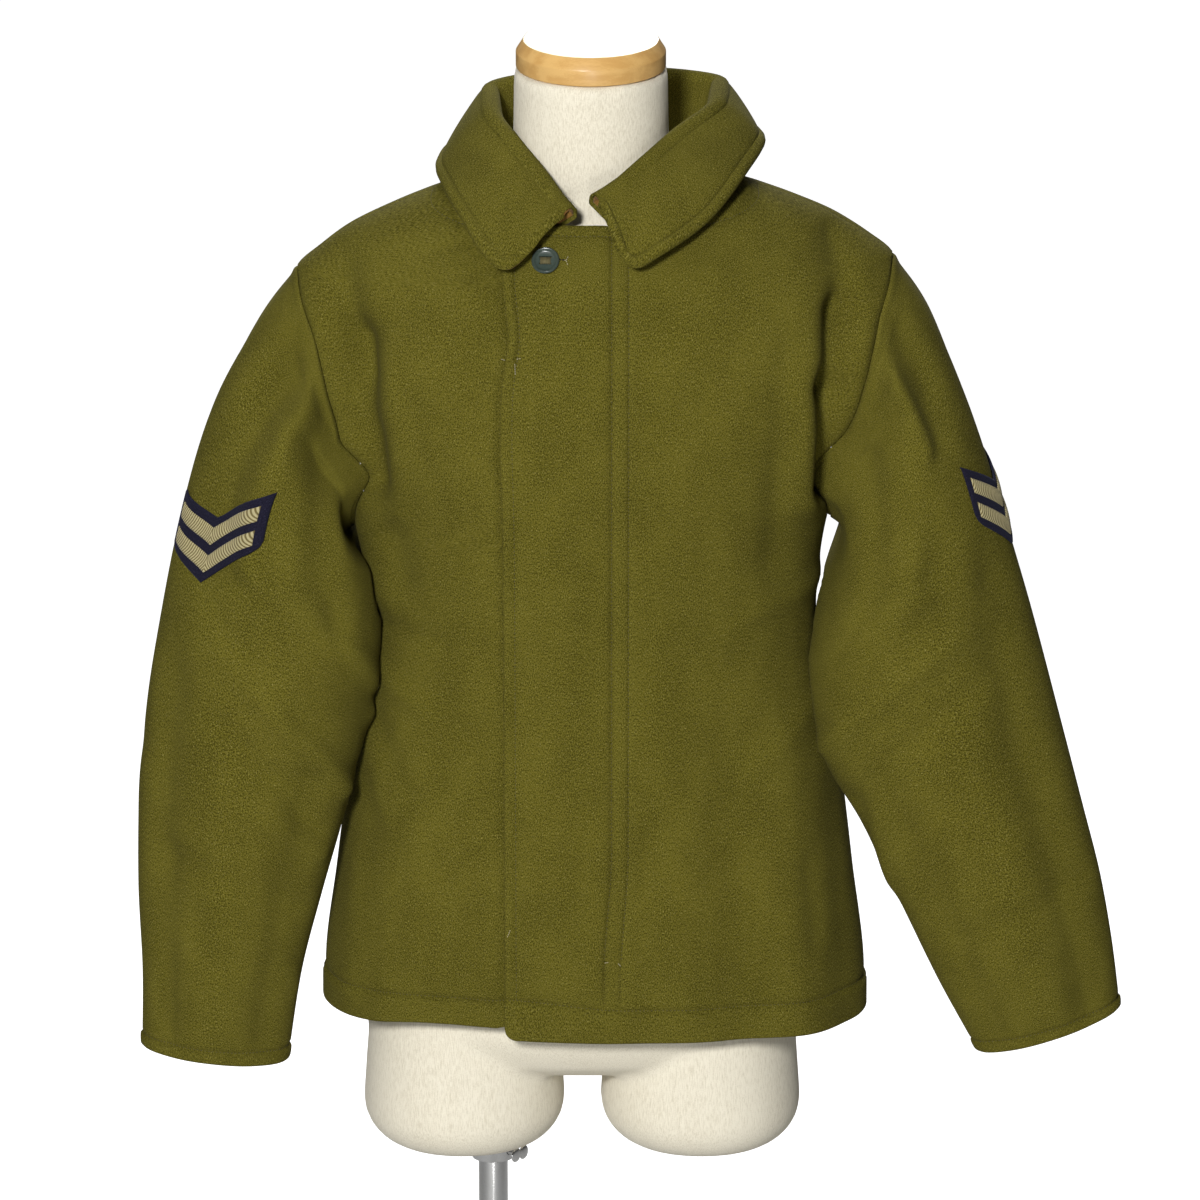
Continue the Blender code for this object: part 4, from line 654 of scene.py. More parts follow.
class Sleeve:
    """A sleeve's worn shape: rings that start as the armhole and turn into ovals."""

    def __init__(self, side, loop, samples):
        self.side = side
        self.sign = 1.0 if side == "left" else -1.0
        table = [(i / (len(SLEEVES[side]) - 1), *row) for i, row in enumerate(SLEEVES[side])]
        self.columns = [curve(table, i) for i in range(1, 8)]
        self.samples = samples
        self.loop = loop
        count = len(loop)
        steps = np.linalg.norm(np.roll(loop, -1, axis=0) - loop, axis=1)
        half = count // 2
        front = np.concatenate([[0.0], np.cumsum(steps[:half])])
        behind = np.concatenate([[0.0], np.cumsum(steps[half:])])
        self.angles = np.concatenate([
            (math.pi * front / front[-1])[:-1], (math.pi * (1 + behind / behind[-1]))[:-1]
        ])
        centre, across, deep, along = self.frame(0.0)
        width, depth = self.half_sizes(0.0)
        scaled = np.array([across / width, deep / depth, along])
        self.local = (loop - centre) @ scaled.T

    def frame(self, share):
        values = np.array([column(share) for column in self.columns])
        outer, inner = values[:3], values[3:6]
        across = unit(outer - inner)
        along = unit(np.cross(np.array([0.0, -1.0, 0.0]), across)) * self.sign
        deep = np.cross(across, along) * self.sign
        return (outer + inner) / 2, across, deep, along

    def half_sizes(self, share):
        values = np.array([column(share) for column in self.columns])
        return np.linalg.norm(values[:3] - values[3:6]) / 2, values[6]

    def loop_at(self, angle):
        angles = np.append(self.angles, 2 * math.pi)
        local = np.vstack([self.local, self.local[:1]])
        return np.stack([np.interp(angle % (2 * math.pi), angles, local[:, i]) for i in range(3)], axis=-1)

    def fold(self, angle, share):
        turn = np.degrees(angle) % 360
        height = np.zeros_like(turn)
        for side, angle_a, share_a, angle_b, share_b, width, rise in SLEEVE_FOLDS + SLEEVE_CREASES:
            if side != self.side:
                continue
            here = (np.radians(turn) * SLEEVE_RADIUS, share * SLEEVE_LENGTH)
            start = (math.radians(angle_a) * SLEEVE_RADIUS, share_a * SLEEVE_LENGTH)
            end = (math.radians(angle_b) * SLEEVE_RADIUS, share_b * SLEEVE_LENGTH)
            height += rise * np.exp(-((off_segment(*here, *start, *end) / width) ** 2))
        return height * smoothstep(0.0, 0.10, share)

    def ring(self, angle, share, lift=0.0):
        """Points of one ring, at the given angles."""
        width, depth = self.half_sizes(share)
        centre, across, deep, along = self.frame(share)
        power = 2.0 / SLEEVE_SQUARENESS
        oval = np.stack(
            [signed_power(np.cos(angle), power), signed_power(np.sin(angle), power), np.zeros_like(angle)],
            axis=-1,
        )
        blend = smoothstep(0.0, HEAD_LENGTH, share)
        local = ((1 - blend) * self.loop_at(angle) + blend * oval) * np.array([width, depth, 1.0])
        out = unit(np.stack([local[:, 0], local[:, 1] * width / depth, np.zeros_like(angle)], axis=-1))
        local = local + out * (self.fold(angle, share) + lift)[:, None]
        points = centre + local[:, :1] * across + local[:, 1:2] * deep + local[:, 2:] * along
        facing = smoothstep(-0.10, 0.20, -np.cos(angle)) * smoothstep(0.0, 0.012, share)
        close = facing > 0
        if close.any():
            pushed = pushed_clear(points[close], self.samples, SLEEVE_CLEARANCE)
            points[close] += facing[close][:, None] * (pushed - points[close])
        return points

    def normals(self, angle, share):
        low, high = max(share - 0.004, 0.0), min(share + 0.004, 1.0)
        around = self.ring(angle + 0.02, share) - self.ring(angle - 0.02, share)
        down = self.ring(angle, high) - self.ring(angle, low)
        return unit(np.cross(around, down)) * self.sign

    def lay(self):
        points, uvs = [], []
        shift = self.seam_shift()
        for distance in SLEEVE_PLACES:
            share = distance / SLEEVE_LENGTH
            to_cuff = SLEEVE_LENGTH - distance
            lift = groove(to_cuff - CUFF_STITCH, 0.0018, 0.0014) + rolled_edge(to_cuff)
            lift += CUFF_PUFF * smoothstep(CUFF_STITCH, CUFF_STITCH - 0.004, to_cuff)
            lift = np.full_like(self.angles, lift)
            if distance == 0.0:
                ring = self.loop + shift
            else:
                lift += 0.0016 * np.exp(-(((distance - 0.007) / 0.006) ** 2)) * (np.cos(self.angles) > -0.3)
                ring = self.ring(self.angles, share, lift)
                ring += shift * math.exp(-distance / 0.004)
            points.append(np.vstack([ring, ring[:1]]))
            around = np.append(self.angles, 2 * math.pi) * SLEEVE_RADIUS
            uvs.append(np.stack([around, np.full_like(around, SLEEVE_LENGTH - distance)], axis=-1))
        return np.array(points), np.array(uvs)

    def seam_shift(self):
        around = np.roll(self.loop, -1, axis=0) - np.roll(self.loop, 1, axis=0)
        heights = self.loop[:, 2]
        low, high = heights.min(), heights.max()
        share = np.clip((heights - low) / (high - low) * 4, 0.0, 1.0)
        shift = np.zeros_like(self.loop)
        shift[:, 0] = self.sign * share
        shift[:, 2] = 1.0 - share
        shift -= around * (np.sum(shift * around, axis=1) / np.sum(around * around, axis=1))[:, None]
        return ARMHOLE_GAP * unit(shift)

    def outward(self, centre):
        share = min(max((SLEEVE_TOP_Z - centre.z) / SLEEVE_LENGTH, 0.0), 1.0)
        middle = self.frame(share)[0]
        return Vector((centre.x - middle[0], centre.y - middle[1], 0.0)).normalized()


# ---------------------------------------------------------------- collar


def collar_section(values, corner, leaf_places):
    """The middle line of one section of the collar, and each point's outward side."""
    angle, cx, cy, cz, ex, ey, ez = values
    turn = math.radians(angle)
    at_neck = np.array([turn])
    base = body_point(at_neck, row_height(np.array([NECK_Z]), at_neck), False)[0]
    base = base + np.array([0.0, 0.0, SEAM_GAP + 0.0014])
    crest, edge = np.array([cx, cy, cz]), np.array([ex, ey, ez])
    out = unit(np.array([ex - cx, ey - cy, 0.0]))
    up = np.array([0.0, 0.0, 1.0])
    hub = crest - COLLAR_ROLL * up
    stand_top = hub - COLLAR_ROLL * out
    path = [base + (stand_top - base) * share for share in np.linspace(0.0, 0.9, 9)]
    for degrees in np.linspace(0, 170, 9):
        bend = math.radians(degrees)
        path.append(hub - COLLAR_ROLL * math.cos(bend) * out + COLLAR_ROLL * math.sin(bend) * up)
    start = path[-1]
    fall = edge - start
    bulge = unit(np.array([-fall[2] * out[0], -fall[2] * out[1], fall @ out]))
    length = np.linalg.norm(fall)
    reach = 1.0 - corner / length
    for place in leaf_places:
        share = place * reach
        path.append(start + share * fall + LEAF_BULGE * 4 * share * (1 - share) * bulge)
    path = np.array(path)
    tangents = np.gradient(path, axis=0)
    sides = unit(np.cross(tangents, np.cross(up, out)))
    if sides[13][2] < 0:
        sides = -sides
    return path, sides, (1 - leaf_places) * length * reach


def shoulder_samples():
    points, normals = [], []
    angles = np.radians(np.arange(0, 360, 3.0))
    for z in np.arange(1.33, 1.449, 0.003):
        rows = np.full_like(angles, z)
        normal = body_normal(angles, rows)
        out = LAP_OUT * (1 - smoothstep(0.000, 0.045, body_point(angles, rows)[:, 0])) * (np.sin(angles) < 0)
        points.append(body_point(angles, rows) + out[:, None] * normal)
        normals.append(normal)
    return tree_of(np.concatenate(points), np.concatenate(normals))


def lay_collar(layer):
    """Points and cut coordinates of the collar's face or of its undercollar, by its node's name."""
    table = [(float(i), *row) for i, row in enumerate(COLLAR_STATIONS)]
    columns = [curve(table, i) for i in range(1, 8)]
    last = len(table) - 1
    fine = np.linspace(0.0, last, 401)
    edge = np.stack([columns[i](fine) for i in (4, 5, 6)], axis=-1)
    run = np.concatenate([[0.0], np.cumsum(np.linalg.norm(np.diff(edge, axis=0), axis=1))])
    places = stations(0.0, run[-1], 0.0026, lines=[COLLAR_STITCH, run[-1] - COLLAR_STITCH])
    from_edge = stations(0.0, LEAF_LENGTH, 0.0030, lines=[COLLAR_STITCH], ends=(True, False))
    leaf = 1 - from_edge[::-1] / LEAF_LENGTH
    leaf = leaf[leaf > 0.02]
    samples = shoulder_samples()
    height = LAYER_GAP / 2 + COLLAR_LAYER
    if layer == "undercollar":
        height = -LAYER_GAP / 2
        places = places[(places > UNDER_INSET) & (places < run[-1] - UNDER_INSET)]
    points, uvs = [], []
    for place in places:
        station = np.interp(place, run, fine)
        from_end = min(place, run[-1] - place)
        inset = max(LEAF_CORNER - from_end, 0.0)
        corner = LEAF_CORNER - math.sqrt(max(LEAF_CORNER**2 - inset**2, 0.0))
        path, sides, to_edge = collar_section([c(station) for c in columns], corner, leaf)
        count = len(leaf)
        lift = np.full(len(path), height)
        near = np.minimum(to_edge, from_end)
        if layer == "collar":
            lift[-count:] += groove(near - COLLAR_STITCH, 0.0016, 0.0015) + rolled_edge(near, 0.0030, 0.0016)
            lift[-count:] += LEAF_PUFF * np.sin(np.pi * np.clip(near / COLLAR_STITCH, 0, 1))
        placed = path + lift[:, None] * sides
        clear = COLLAR_LIFT + height + COLLAR_LAYER + LAYER_GAP / 2
        placed[14:] = pushed_clear(placed[14:], samples, clear)
        steps = np.linalg.norm(np.diff(placed, axis=0), axis=1)
        points.append(placed)
        down = np.concatenate([[0.0], np.cumsum(steps)])
        uvs.append(np.stack([down, np.full(len(placed), place)], axis=-1))
    return np.array(points), np.array(uvs)


# ---------------------------------------------------------------- materials


def new_group(name, inputs):
    """An empty group with a Where socket, the given inputs, and a Colour and a Height out."""
    group = bpy.data.node_groups.new(name, "ShaderNodeTree")
    group.interface.new_socket("Where", in_out="INPUT", socket_type="NodeSocketVector")
    for label, kind, value in inputs:
        socket = group.interface.new_socket(label, in_out="INPUT", socket_type=kind)
        socket.default_value = value
    group.interface.new_socket("Colour", in_out="OUTPUT", socket_type="NodeSocketColor")
    group.interface.new_socket("Height", in_out="OUTPUT", socket_type="NodeSocketFloat")
    return group, group.nodes.new("NodeGroupInput"), group.nodes.new("NodeGroupOutput")


def scaled_noise(tree, where, scale, detail=2.0, roughness=0.6):
    """Noise whose grain is 1 / scale metres along each axis."""
    stretch = tree.nodes.new("ShaderNodeVectorMath")
    stretch.operation = "MULTIPLY"
    stretch.inputs[1].default_value = scale
    tree.links.new(where, stretch.inputs[0])
    noise = tree.nodes.new("ShaderNodeTexNoise")
    noise.inputs["Scale"].default_value = 1.0
    noise.inputs["Detail"].default_value = detail
    noise.inputs["Roughness"].default_value = roughness
    tree.links.new(stretch.outputs[0], noise.inputs["Vector"])
    return noise.outputs["Fac"]


def stepped(tree, value, low, high, to_low=0.0, to_high=1.0):
    ramp = tree.nodes.new("ShaderNodeMapRange")
    ramp.interpolation_type = "SMOOTHSTEP"
    for name, number in (("From Min", low), ("From Max", high), ("To Min", to_low), ("To Max", to_high)):
        ramp.inputs[name].default_value = number
    tree.links.new(value, ramp.inputs["Value"])
    return ramp.outputs["Result"]


def mixed(tree, factor, first, second):
    """A colour between two, each a socket or a plain colour."""
    mix = tree.nodes.new("ShaderNodeMix")
    mix.data_type = "RGBA"
    tree.links.new(factor, mix.inputs["Factor"])
    for place, value in ((6, first), (7, second)):
        if isinstance(value, tuple):
            mix.inputs[place].default_value = value
        else:
            tree.links.new(value, mix.inputs[place])
    return mix.outputs[2]


def summed(tree, *parts):
    """The sum of (socket, weight) pairs."""
    total = None
    for value, weight in parts:
        times = tree.nodes.new("ShaderNodeMath")
        times.operation = "MULTIPLY_ADD"
        times.inputs[1].default_value = weight
        times.inputs[2].default_value = 0.0
        tree.links.new(value, times.inputs[0])
        if total is not None:
            tree.links.new(total, times.inputs[2])
        total = times.outputs[0]
    return total


def make_nap_group():
    """Milled wool: threads hidden by a nap that lies along the cut, with pale and dark fibres."""
    group, given, out = new_group("wool nap", (
        ("Deep", "NodeSocketColor", (0.03, 0.03, 0.004, 1)),
        ("Ground", "NodeSocketColor", (0.08, 0.07, 0.01, 1)),
        ("Fleck", "NodeSocketColor", (0.2, 0.17, 0.05, 1)),
    ))
    where = given.outputs["Where"]
    grain = scaled_noise(group, where, (1250.0, 700.0, 1250.0), 1.5, 0.6)
    fibres = scaled_noise(group, where, (3000.0, 900.0, 3000.0), 2.0, 0.6)
    cloud = scaled_noise(group, where, (26.0, 14.0, 26.0), 3.0, 0.6)
    flecks = stepped(group, scaled_noise(group, where, (1250.0, 620.0, 1250.0), 1.0, 0.5), 0.60, 0.74)
    depth = stepped(group, summed(group, (grain, 0.42), (fibres, 0.48), (cloud, 0.10)), 0.44, 0.56)
    colour = mixed(group, depth, given.outputs["Deep"], given.outputs["Ground"])
    share = group.nodes.new("ShaderNodeMath")
    share.operation = "MULTIPLY"
    share.inputs[1].default_value = 0.55
    group.links.new(flecks, share.inputs[0])
    colour = mixed(group, share.outputs[0], colour, given.outputs["Fleck"])
    group.links.new(colour, out.inputs["Colour"])
    group.links.new(summed(group, (grain, 0.55), (fibres, 0.30), (flecks, 0.15)), out.inputs["Height"])
    return group


def make_material(name, group, coordinate, colours, roughness, bump, sheen=0.0, tint=(1, 1, 1, 1)):
    """A principled material fed by one of the groups, in UV or Object coordinates."""
    made = bpy.data.materials.new(name)
    made.use_nodes = True
    tree = made.node_tree
    shader = tree.nodes["Principled BSDF"]
    where = tree.nodes.new("ShaderNodeTexCoord")
    effect = tree.nodes.new("ShaderNodeGroup")
    effect.node_tree = group
    tree.links.new(where.outputs[coordinate], effect.inputs["Where"])
    for label, value in colours.items():
        effect.inputs[label].default_value = value
    tree.links.new(effect.outputs["Colour"], shader.inputs["Base Color"])
    relief = tree.nodes.new("ShaderNodeBump")
    relief.inputs["Strength"].default_value = bump[0]
    relief.inputs["Distance"].default_value = bump[1]
    tree.links.new(effect.outputs["Height"], relief.inputs["Height"])
    tree.links.new(relief.outputs["Normal"], shader.inputs["Normal"])
    shader.inputs["Roughness"].default_value = roughness
    shader.inputs["Specular IOR Level"].default_value = 0.08 if sheen else 0.5
    shader.inputs["Sheen Weight"].default_value = sheen
    shader.inputs["Sheen Roughness"].default_value = 0.55
    shader.inputs["Sheen Tint"].default_value = tint
    return made


def make_toned_group(name, tones, noises, depth_weights, span, height_weights):
    """Two tones, the first where the weighted noises are low, and a height from the same noises."""
    group, given, out = new_group(name, [(tone, "NodeSocketColor", (0.5, 0.5, 0.5, 1)) for tone in tones])
    made = [scaled_noise(group, given.outputs["Where"], *noise) for noise in noises]
    depth = stepped(group, summed(group, *zip(made, depth_weights)), *span)
    low, high = [given.outputs[tone] for tone in tones]
    group.links.new(mixed(group, depth, low, high), out.inputs["Colour"])
    group.links.new(summed(group, *zip(made, height_weights)), out.inputs["Height"])
    return group


def make_braid_group():
    """Worsted braid: a thread for each whole number of the first coordinate, dark between."""
    group, given, out = new_group("braid threads", (
        ("Thread", "NodeSocketColor", (0.5, 0.45, 0.26, 1)),
        ("Between", "NodeSocketColor", (0.18, 0.13, 0.05, 1)),
    ))
    parts = group.nodes.new("ShaderNodeSeparateXYZ")
    group.links.new(given.outputs["Where"], parts.inputs[0])
    turn = group.nodes.new("ShaderNodeMath")
    turn.operation = "MULTIPLY"
    turn.inputs[1].default_value = 2 * math.pi
    group.links.new(parts.outputs["X"], turn.inputs[0])
    wave = group.nodes.new("ShaderNodeMath")
    wave.operation = "COSINE"
    group.links.new(turn.outputs[0], wave.inputs[0])
    strands = scaled_noise(group, given.outputs["Where"], (5.0, 60.0, 1.0), 2.0, 0.6)
    depth = stepped(group, summed(group, (wave.outputs[0], 0.5), (strands, 0.9)), -0.05, 0.75)
    toned = mixed(group, depth, given.outputs["Between"], given.outputs["Thread"])
    group.links.new(toned, out.inputs["Colour"])
    group.links.new(summed(group, (wave.outputs[0], 0.4), (strands, 0.3)), out.inputs["Height"])
    return group


NAP, BRAID = make_nap_group(), make_braid_group()
# each noise's scale along X, Y and Z, its detail and roughness
KNIT = make_toned_group(  # upright ribs of loops with a soft uneven weave
    "fine knit", ("Between", "Thread"),
    (((1500.0, 1500.0, 150.0), 1.0, 0.5), ((900.0, 900.0, 1300.0), 2.0, 0.5), ((16.0, 16.0, 9.0), 2.0, 0.5)),
    (0.55, 0.30, 0.15), (0.30, 0.60), (0.6, 0.4, 0.0),
)
GRAIN = make_toned_group(  # long faint growth lines and short dark pores along X
    "birch grain", ("Line", "Pale"),
    (((9.0, 130.0, 130.0), 3.0, 0.5), ((220.0, 1900.0, 1900.0), 1.0, 0.5)),
    (0.75, 0.25), (0.36, 0.62), (0.4, 0.6),
)
TWIST = make_toned_group(  # small slanting plies
    "twisted thread", ("Dark", "Light"), (((2600.0, 2600.0, 2600.0), 1.0, 0.5),), (1.0,), (0.38, 0.60), (1.0,)
)
SMEAR = make_toned_group(  # broad faint smears and fine specks
    "handled surface", ("Dull", "Clean"),
    (((45.0, 45.0, 12.0), 3.0, 0.6), ((900.0, 900.0, 900.0), 1.0, 0.5)),
    (0.7, 0.3), (0.35, 0.60), (0.0, 1.0),
)

OLIVE = {
    "Deep": (0.040, 0.035, 0.0036, 1), "Ground": (0.134, 0.117, 0.0155, 1),
    "Fleck": (0.300, 0.262, 0.075, 1),
}
RUST = {
    "Deep": (0.110, 0.055, 0.0120, 1), "Ground": (0.230, 0.120, 0.0260, 1),
    "Fleck": (0.330, 0.200, 0.060, 1),
}
NAVY = {
    "Deep": (0.0070, 0.0065, 0.015, 1), "Ground": (0.0130, 0.0120, 0.0240, 1),
    "Fleck": (0.032, 0.031, 0.060, 1),
}
WOOL_SHEEN = (0.62, 0.56, 0.16, 1)

wool = make_material("olive wool", NAP, "UV", OLIVE, 1.0, (0.08, 0.0004), 0.03, WOOL_SHEEN)
melton = make_material("rust melton", NAP, "UV", RUST, 0.95, (0.4, 0.0008), 0.1)
felt = make_material("navy felt", NAP, "UV", NAVY, 0.95, (0.4, 0.0007), 0.05, (0.5, 0.55, 0.9, 1))
braid = make_material(
    "drab braid", BRAID, "UV",
    {"Thread": (0.400, 0.350, 0.190, 1), "Between": (0.130, 0.100, 0.035, 1)}, 0.8, (0.5, 0.0004), 0.1,
)
jersey = make_material(
    "cream jersey", KNIT, "Object",
    {"Thread": (0.760, 0.710, 0.580, 1), "Between": (0.600, 0.545, 0.420, 1)}, 0.9, (0.35, 0.0005), 0.1,
)
# One birch in two tones: the cap's top is painted paler as painted light from above, and its side darker as
# painted shade.
birch_painted_lit_top = make_material(
    "birch painted lit top", GRAIN, "Object",
    {"Pale": (0.950, 0.830, 0.560, 1), "Line": (0.860, 0.700, 0.420, 1)}, 0.38, (0.08, 0.0002),
)
birch_painted_shaded_side = make_material(
    "birch painted shaded side", GRAIN, "Object",
    {"Pale": (0.660, 0.410, 0.145, 1), "Line": (0.560, 0.320, 0.100, 1)}, 0.32, (0.08, 0.0002),
)
button_plastic = make_material(
    "button plastic", SMEAR, "Object",
    {"Clean": (0.034, 0.050, 0.040, 1), "Dull": (0.052, 0.066, 0.052, 1)}, 0.24, (0.04, 0.0001),
)
chrome = make_material(
    "chrome", SMEAR, "Object",
    {"Clean": (0.700, 0.700, 0.700, 1), "Dull": (0.620, 0.615, 0.600, 1)}, 0.12, (0.01, 0.00005),
)
chrome.node_tree.nodes["Principled BSDF"].inputs["Metallic"].default_value = 1.0
olive_thread = make_material(
    "olive thread", TWIST, "Object",
    {"Light": (0.070, 0.062, 0.012, 1), "Dark": (0.036, 0.032, 0.005, 1)}, 0.7, (0.3, 0.0002),
)
pale_thread = make_material(
    "pale thread", TWIST, "Object",
    {"Light": (0.420, 0.380, 0.230, 1), "Dark": (0.240, 0.210, 0.110, 1)}, 0.7, (0.3, 0.0002),
)
# The buttonhole's slit: a cord of olive thread coloured near black as painted shade inside the slit.
slit_painted_shade_thread = make_material(
    "dark olive thread", TWIST, "Object",
    {"Light": (0.020, 0.018, 0.004, 1), "Dark": (0.010, 0.009, 0.002, 1)}, 0.9, (0.3, 0.0002),
)
khaki_tape = make_material(
    "khaki tape", TWIST, "Object",
    {"Light": (0.130, 0.110, 0.045, 1), "Dark": (0.070, 0.058, 0.020, 1)}, 0.85, (0.3, 0.0002),
)


# ---------------------------------------------------------------- cloth pieces


def longest(lines):
    """The length of the longest of some lines of points."""
    return max(np.linalg.norm(np.diff(line, axis=0), axis=1).sum() for line in lines)


def cloth_piece(name, node, slot, points, uvs, finish, thickness, outward=None, closed=False, edge=0.0007):
    """A sheet of cloth in place of a CAD node."""
    piece = worn(finish_piece(name, grid_mesh(points, uvs, closed), finish, outward))
    width, length = longest(points), longest(points.transpose(1, 0, 2))
    thicken(piece, thickness, edge)
    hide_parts(node)
    print(f"{name}: {width:.3f} x {length:.3f} m, {area_of(piece):.4f} m2")
    return piece


def make_jacket():
    panels = {panel: lay_panel(panel) for panel in ("upper", "lower", "back")}
    for panel, node in (("upper", "left_front"), ("lower", "right_front"), ("back", "back")):
        cloth_piece(f"{node}_cloth", node, "wool", *panels[panel], wool, CLOTH, outward_from_middle)
    samples = side_samples()
    rows = slice(ARMPIT_ROW, SHOULDER_ROW + 1)
    sleeves = {}
    for side, panel, front_column, back_column in (("left", "upper", -1, 0), ("right", "lower", 0, -1)):
        front_edge = panels[panel][0][rows, front_column]
        back_edge = panels["back"][0][rows, back_column]
        sleeve = Sleeve(side, np.vstack([front_edge[::-1], back_edge[1:-1]]), samples)
        points, uvs = sleeve.lay()
        cloth_piece(
            f"{side}_sleeve_cloth", f"{side}_sleeve", "wool", points, uvs, wool, CLOTH,
            sleeve.outward, closed=True,
        )
        sleeves[side] = (sleeve, points)
    for node, slot, finish in (("collar", "wool", wool), ("undercollar", "melton", melton)):
        laid = lay_collar(node)
        cloth_piece(f"{node}_cloth", node, slot, *laid, finish, COLLAR_LAYER, edge=COLLAR_SOFT_EDGE)
    return panels, sleeves


# ---------------------------------------------------------------- stitches

STITCH_PITCH = 0.0030
STITCH_THICKNESS = 0.00055
STITCH_SEAT = 0.0001  # how far a stitch's middle lies above the cloth
TACK_PITCH = 0.0016
SLIT_PITCH = 0.0020
ON_FRONT = LAP_OUT + 0.0006  # height of the upper front's face, with what lies on it
# x and z of the ends of short pale threads: bartacks of the edge, the fly and the buttonhole
TACKS = (
    ((-0.0705, 1.3125), (-0.0675, 1.3117)),
    ((-0.0590, 1.3125), (-0.0555, 1.3133)),
    ((-0.0602, 1.3095), (-0.0598, 1.3010)),
    ((-0.0676, 0.8570), (-0.0652, 0.8632)),
    ((0.0075, 0.8376), (0.0105, 0.8382)),
    ((0.0180, 0.8372), (0.0200, 0.8350)),
    ((-0.0240, 1.3835), (-0.0216, 1.3835)),
    ((-0.0216, 1.3835), (-0.0198, 1.3862)),
    ((-0.0216, 1.3835), (-0.0202, 1.3800)),
)
BUTTONHOLE = ((-0.0275, 1.3840), (-0.0225, 1.3836))


def even_points(line, pitch):
    """Points at an even pitch along a line of points, with the line's direction at each."""
    steps = np.linalg.norm(np.diff(line, axis=0), axis=1)
    run = np.concatenate([[0.0], np.cumsum(steps)])
    count = max(2, int(run[-1] / pitch))
    places = (np.arange(count) + 0.5) * run[-1] / count
    points = np.stack([np.interp(places, run, line[:, i]) for i in range(3)], axis=-1)
    ahead = np.stack([np.interp(places + pitch / 4, run, line[:, i]) for i in range(3)], axis=-1)
    behind = np.stack([np.interp(places - pitch / 4, run, line[:, i]) for i in range(3)], axis=-1)
    return points, unit(ahead - behind)


def sheet_normals(points, outward):
    """The outward side of each point of a sheet laid row by row."""
    normals = unit(np.cross(np.gradient(points, axis=1), np.gradient(points, axis=0)))
    middle = tuple(size // 2 for size in points.shape[:2])
    return normals * np.sign(normals[middle] @ np.array(outward(Vector(points[middle]))))


def stitch_row(name, runs, finish, pitch=STITCH_PITCH, thickness=STITCH_THICKNESS, fill=0.62):
    """One joined piece: a small plump stitch every pitch along each (line, normals) pair."""
    bm = bmesh.new()
    size = Matrix.Diagonal((pitch * fill / 2, thickness * 0.65, thickness / 2, 1.0))
    for line, normals in runs:
        points, directions = even_points(line, pitch)
        for point, along in zip(points, directions):
            nearest = np.argmin(np.linalg.norm(line - point, axis=1))
            out = normals[nearest]
            side = unit(np.cross(out, along))
            turn = Matrix(np.array([along, side, np.cross(along, side)]).T.tolist()).to_4x4()
            place = Matrix.Translation(Vector(point + STITCH_SEAT * out))
            bmesh.ops.create_icosphere(bm, subdivisions=1, radius=1.0, matrix=place @ turn @ size)
    piece = worn(finish_piece(name, bm, finish))
    return piece


def front_spot(x, z):
    """A place on the upper front by its own x and z, and its outward side."""
    low = np.array([z - float(tilt(z)) * x])
    angle = -math.pi / 2 + np.sign(x) * (math.pi / 2 - angle_at_x(np.array([x]), low))
    normal = body_normal(angle, low)[0]
    return body_point(angle, low)[0] + ON_FRONT * normal, normal


def front_run(*spots):
    """A short line of thread through places on the upper front."""
    pairs = [front_spot(x, z) for x, z in spots]
    return np.array([pair[0] for pair in pairs]), np.array([pair[1] for pair in pairs])


def nearest_row(values, wanted):
    return int(np.argmin(np.abs(np.asarray(values) - wanted)))


def make_stitches(panels, sleeves):
    """The sewn lines of the panels and cuffs, the short threads of the bartacks, and the buttonhole's slit as
    a dark cord of painted shade.
    """
    runs = []
    hem_row = nearest_row(HEIGHTS, HEM_Z + HEM_STITCH)
    neck_row = nearest_row(HEIGHTS, NECK_Z - NECK_STITCH)
    for panel, (points, _) in panels.items():
        normals = sheet_normals(points, outward_from_middle)
        runs += [(points[row, 2:-2], normals[row, 2:-2]) for row in (hem_row, neck_row)]
    points = panels["upper"][0]
    normals = sheet_normals(points, outward_from_middle)
    places = panel_places("upper")
    low = nearest_row(HEIGHTS, FLY_TACK_Z)
    for line in FLY_LINES:
        column = nearest_row(places, line)
        runs.append((points[low:neck_row, column], normals[low:neck_row, column]))
    column = nearest_row(places, UPPER_FRONT_EDGE_X + EDGE_STITCH)
    runs.append((points[hem_row:neck_row, column], normals[hem_row:neck_row, column]))
    for sleeve, points in sleeves.values():
        row = nearest_row(SLEEVE_PLACES, SLEEVE_LENGTH - CUFF_STITCH)
        runs.append((points[row], sheet_normals(points, sleeve.outward)[row]))
    stitch_row("olive_stitches", runs, olive_thread)
    tacks = [front_run(*spots) for spots in TACKS]
    stitch_row("bartack_threads", tacks, pale_thread, TACK_PITCH, 0.0006, 1.1)
    # the slit's near-black cord is painted shade inside the opening
    slit = [front_run(*BUTTONHOLE)]
    stitch_row("buttonhole_slit", slit, slit_painted_shade_thread, SLIT_PITCH, 0.0012, 1.3)


# ---------------------------------------------------------------- chevrons

CHEVRON_ANGLE = {"left": 27.5, "right": 60.0}  # degrees from the sleeve's outer side
CHEVRON_TIP_Z = {"left": 1.153, "right": 1.130}
CHEVRON_LEAN = {"left": -0.10, "right": 0.13}  # fall of its lower edge towards the back, for each metre
CHEVRON_HALF_WIDTH = 0.040
CHEVRON_SLOPE = 0.70
CHEVRON_HEIGHT = 0.050
CHEVRON_NARROWING = 0.14  # share of its height that a chevron loses at its ends
CHEVRON_BORDER = 0.0046
CHEVRON_CORNER = 0.007
FELT_THICKNESS = 0.0012
FELT_LIFT = 0.0020  # height of the felt's face above the sleeve
BRAID_THICKNESS = 0.0008
BRAID_LIFT = 0.0026
BRAID_WIDTH = 0.0135
BRAID_STARTS = (0.007, 0.0285)  # height of each bar's lower edge
BRAID_PITCH = 0.00225  # between the braid's threads
BRAID_CURVE = 0.0012


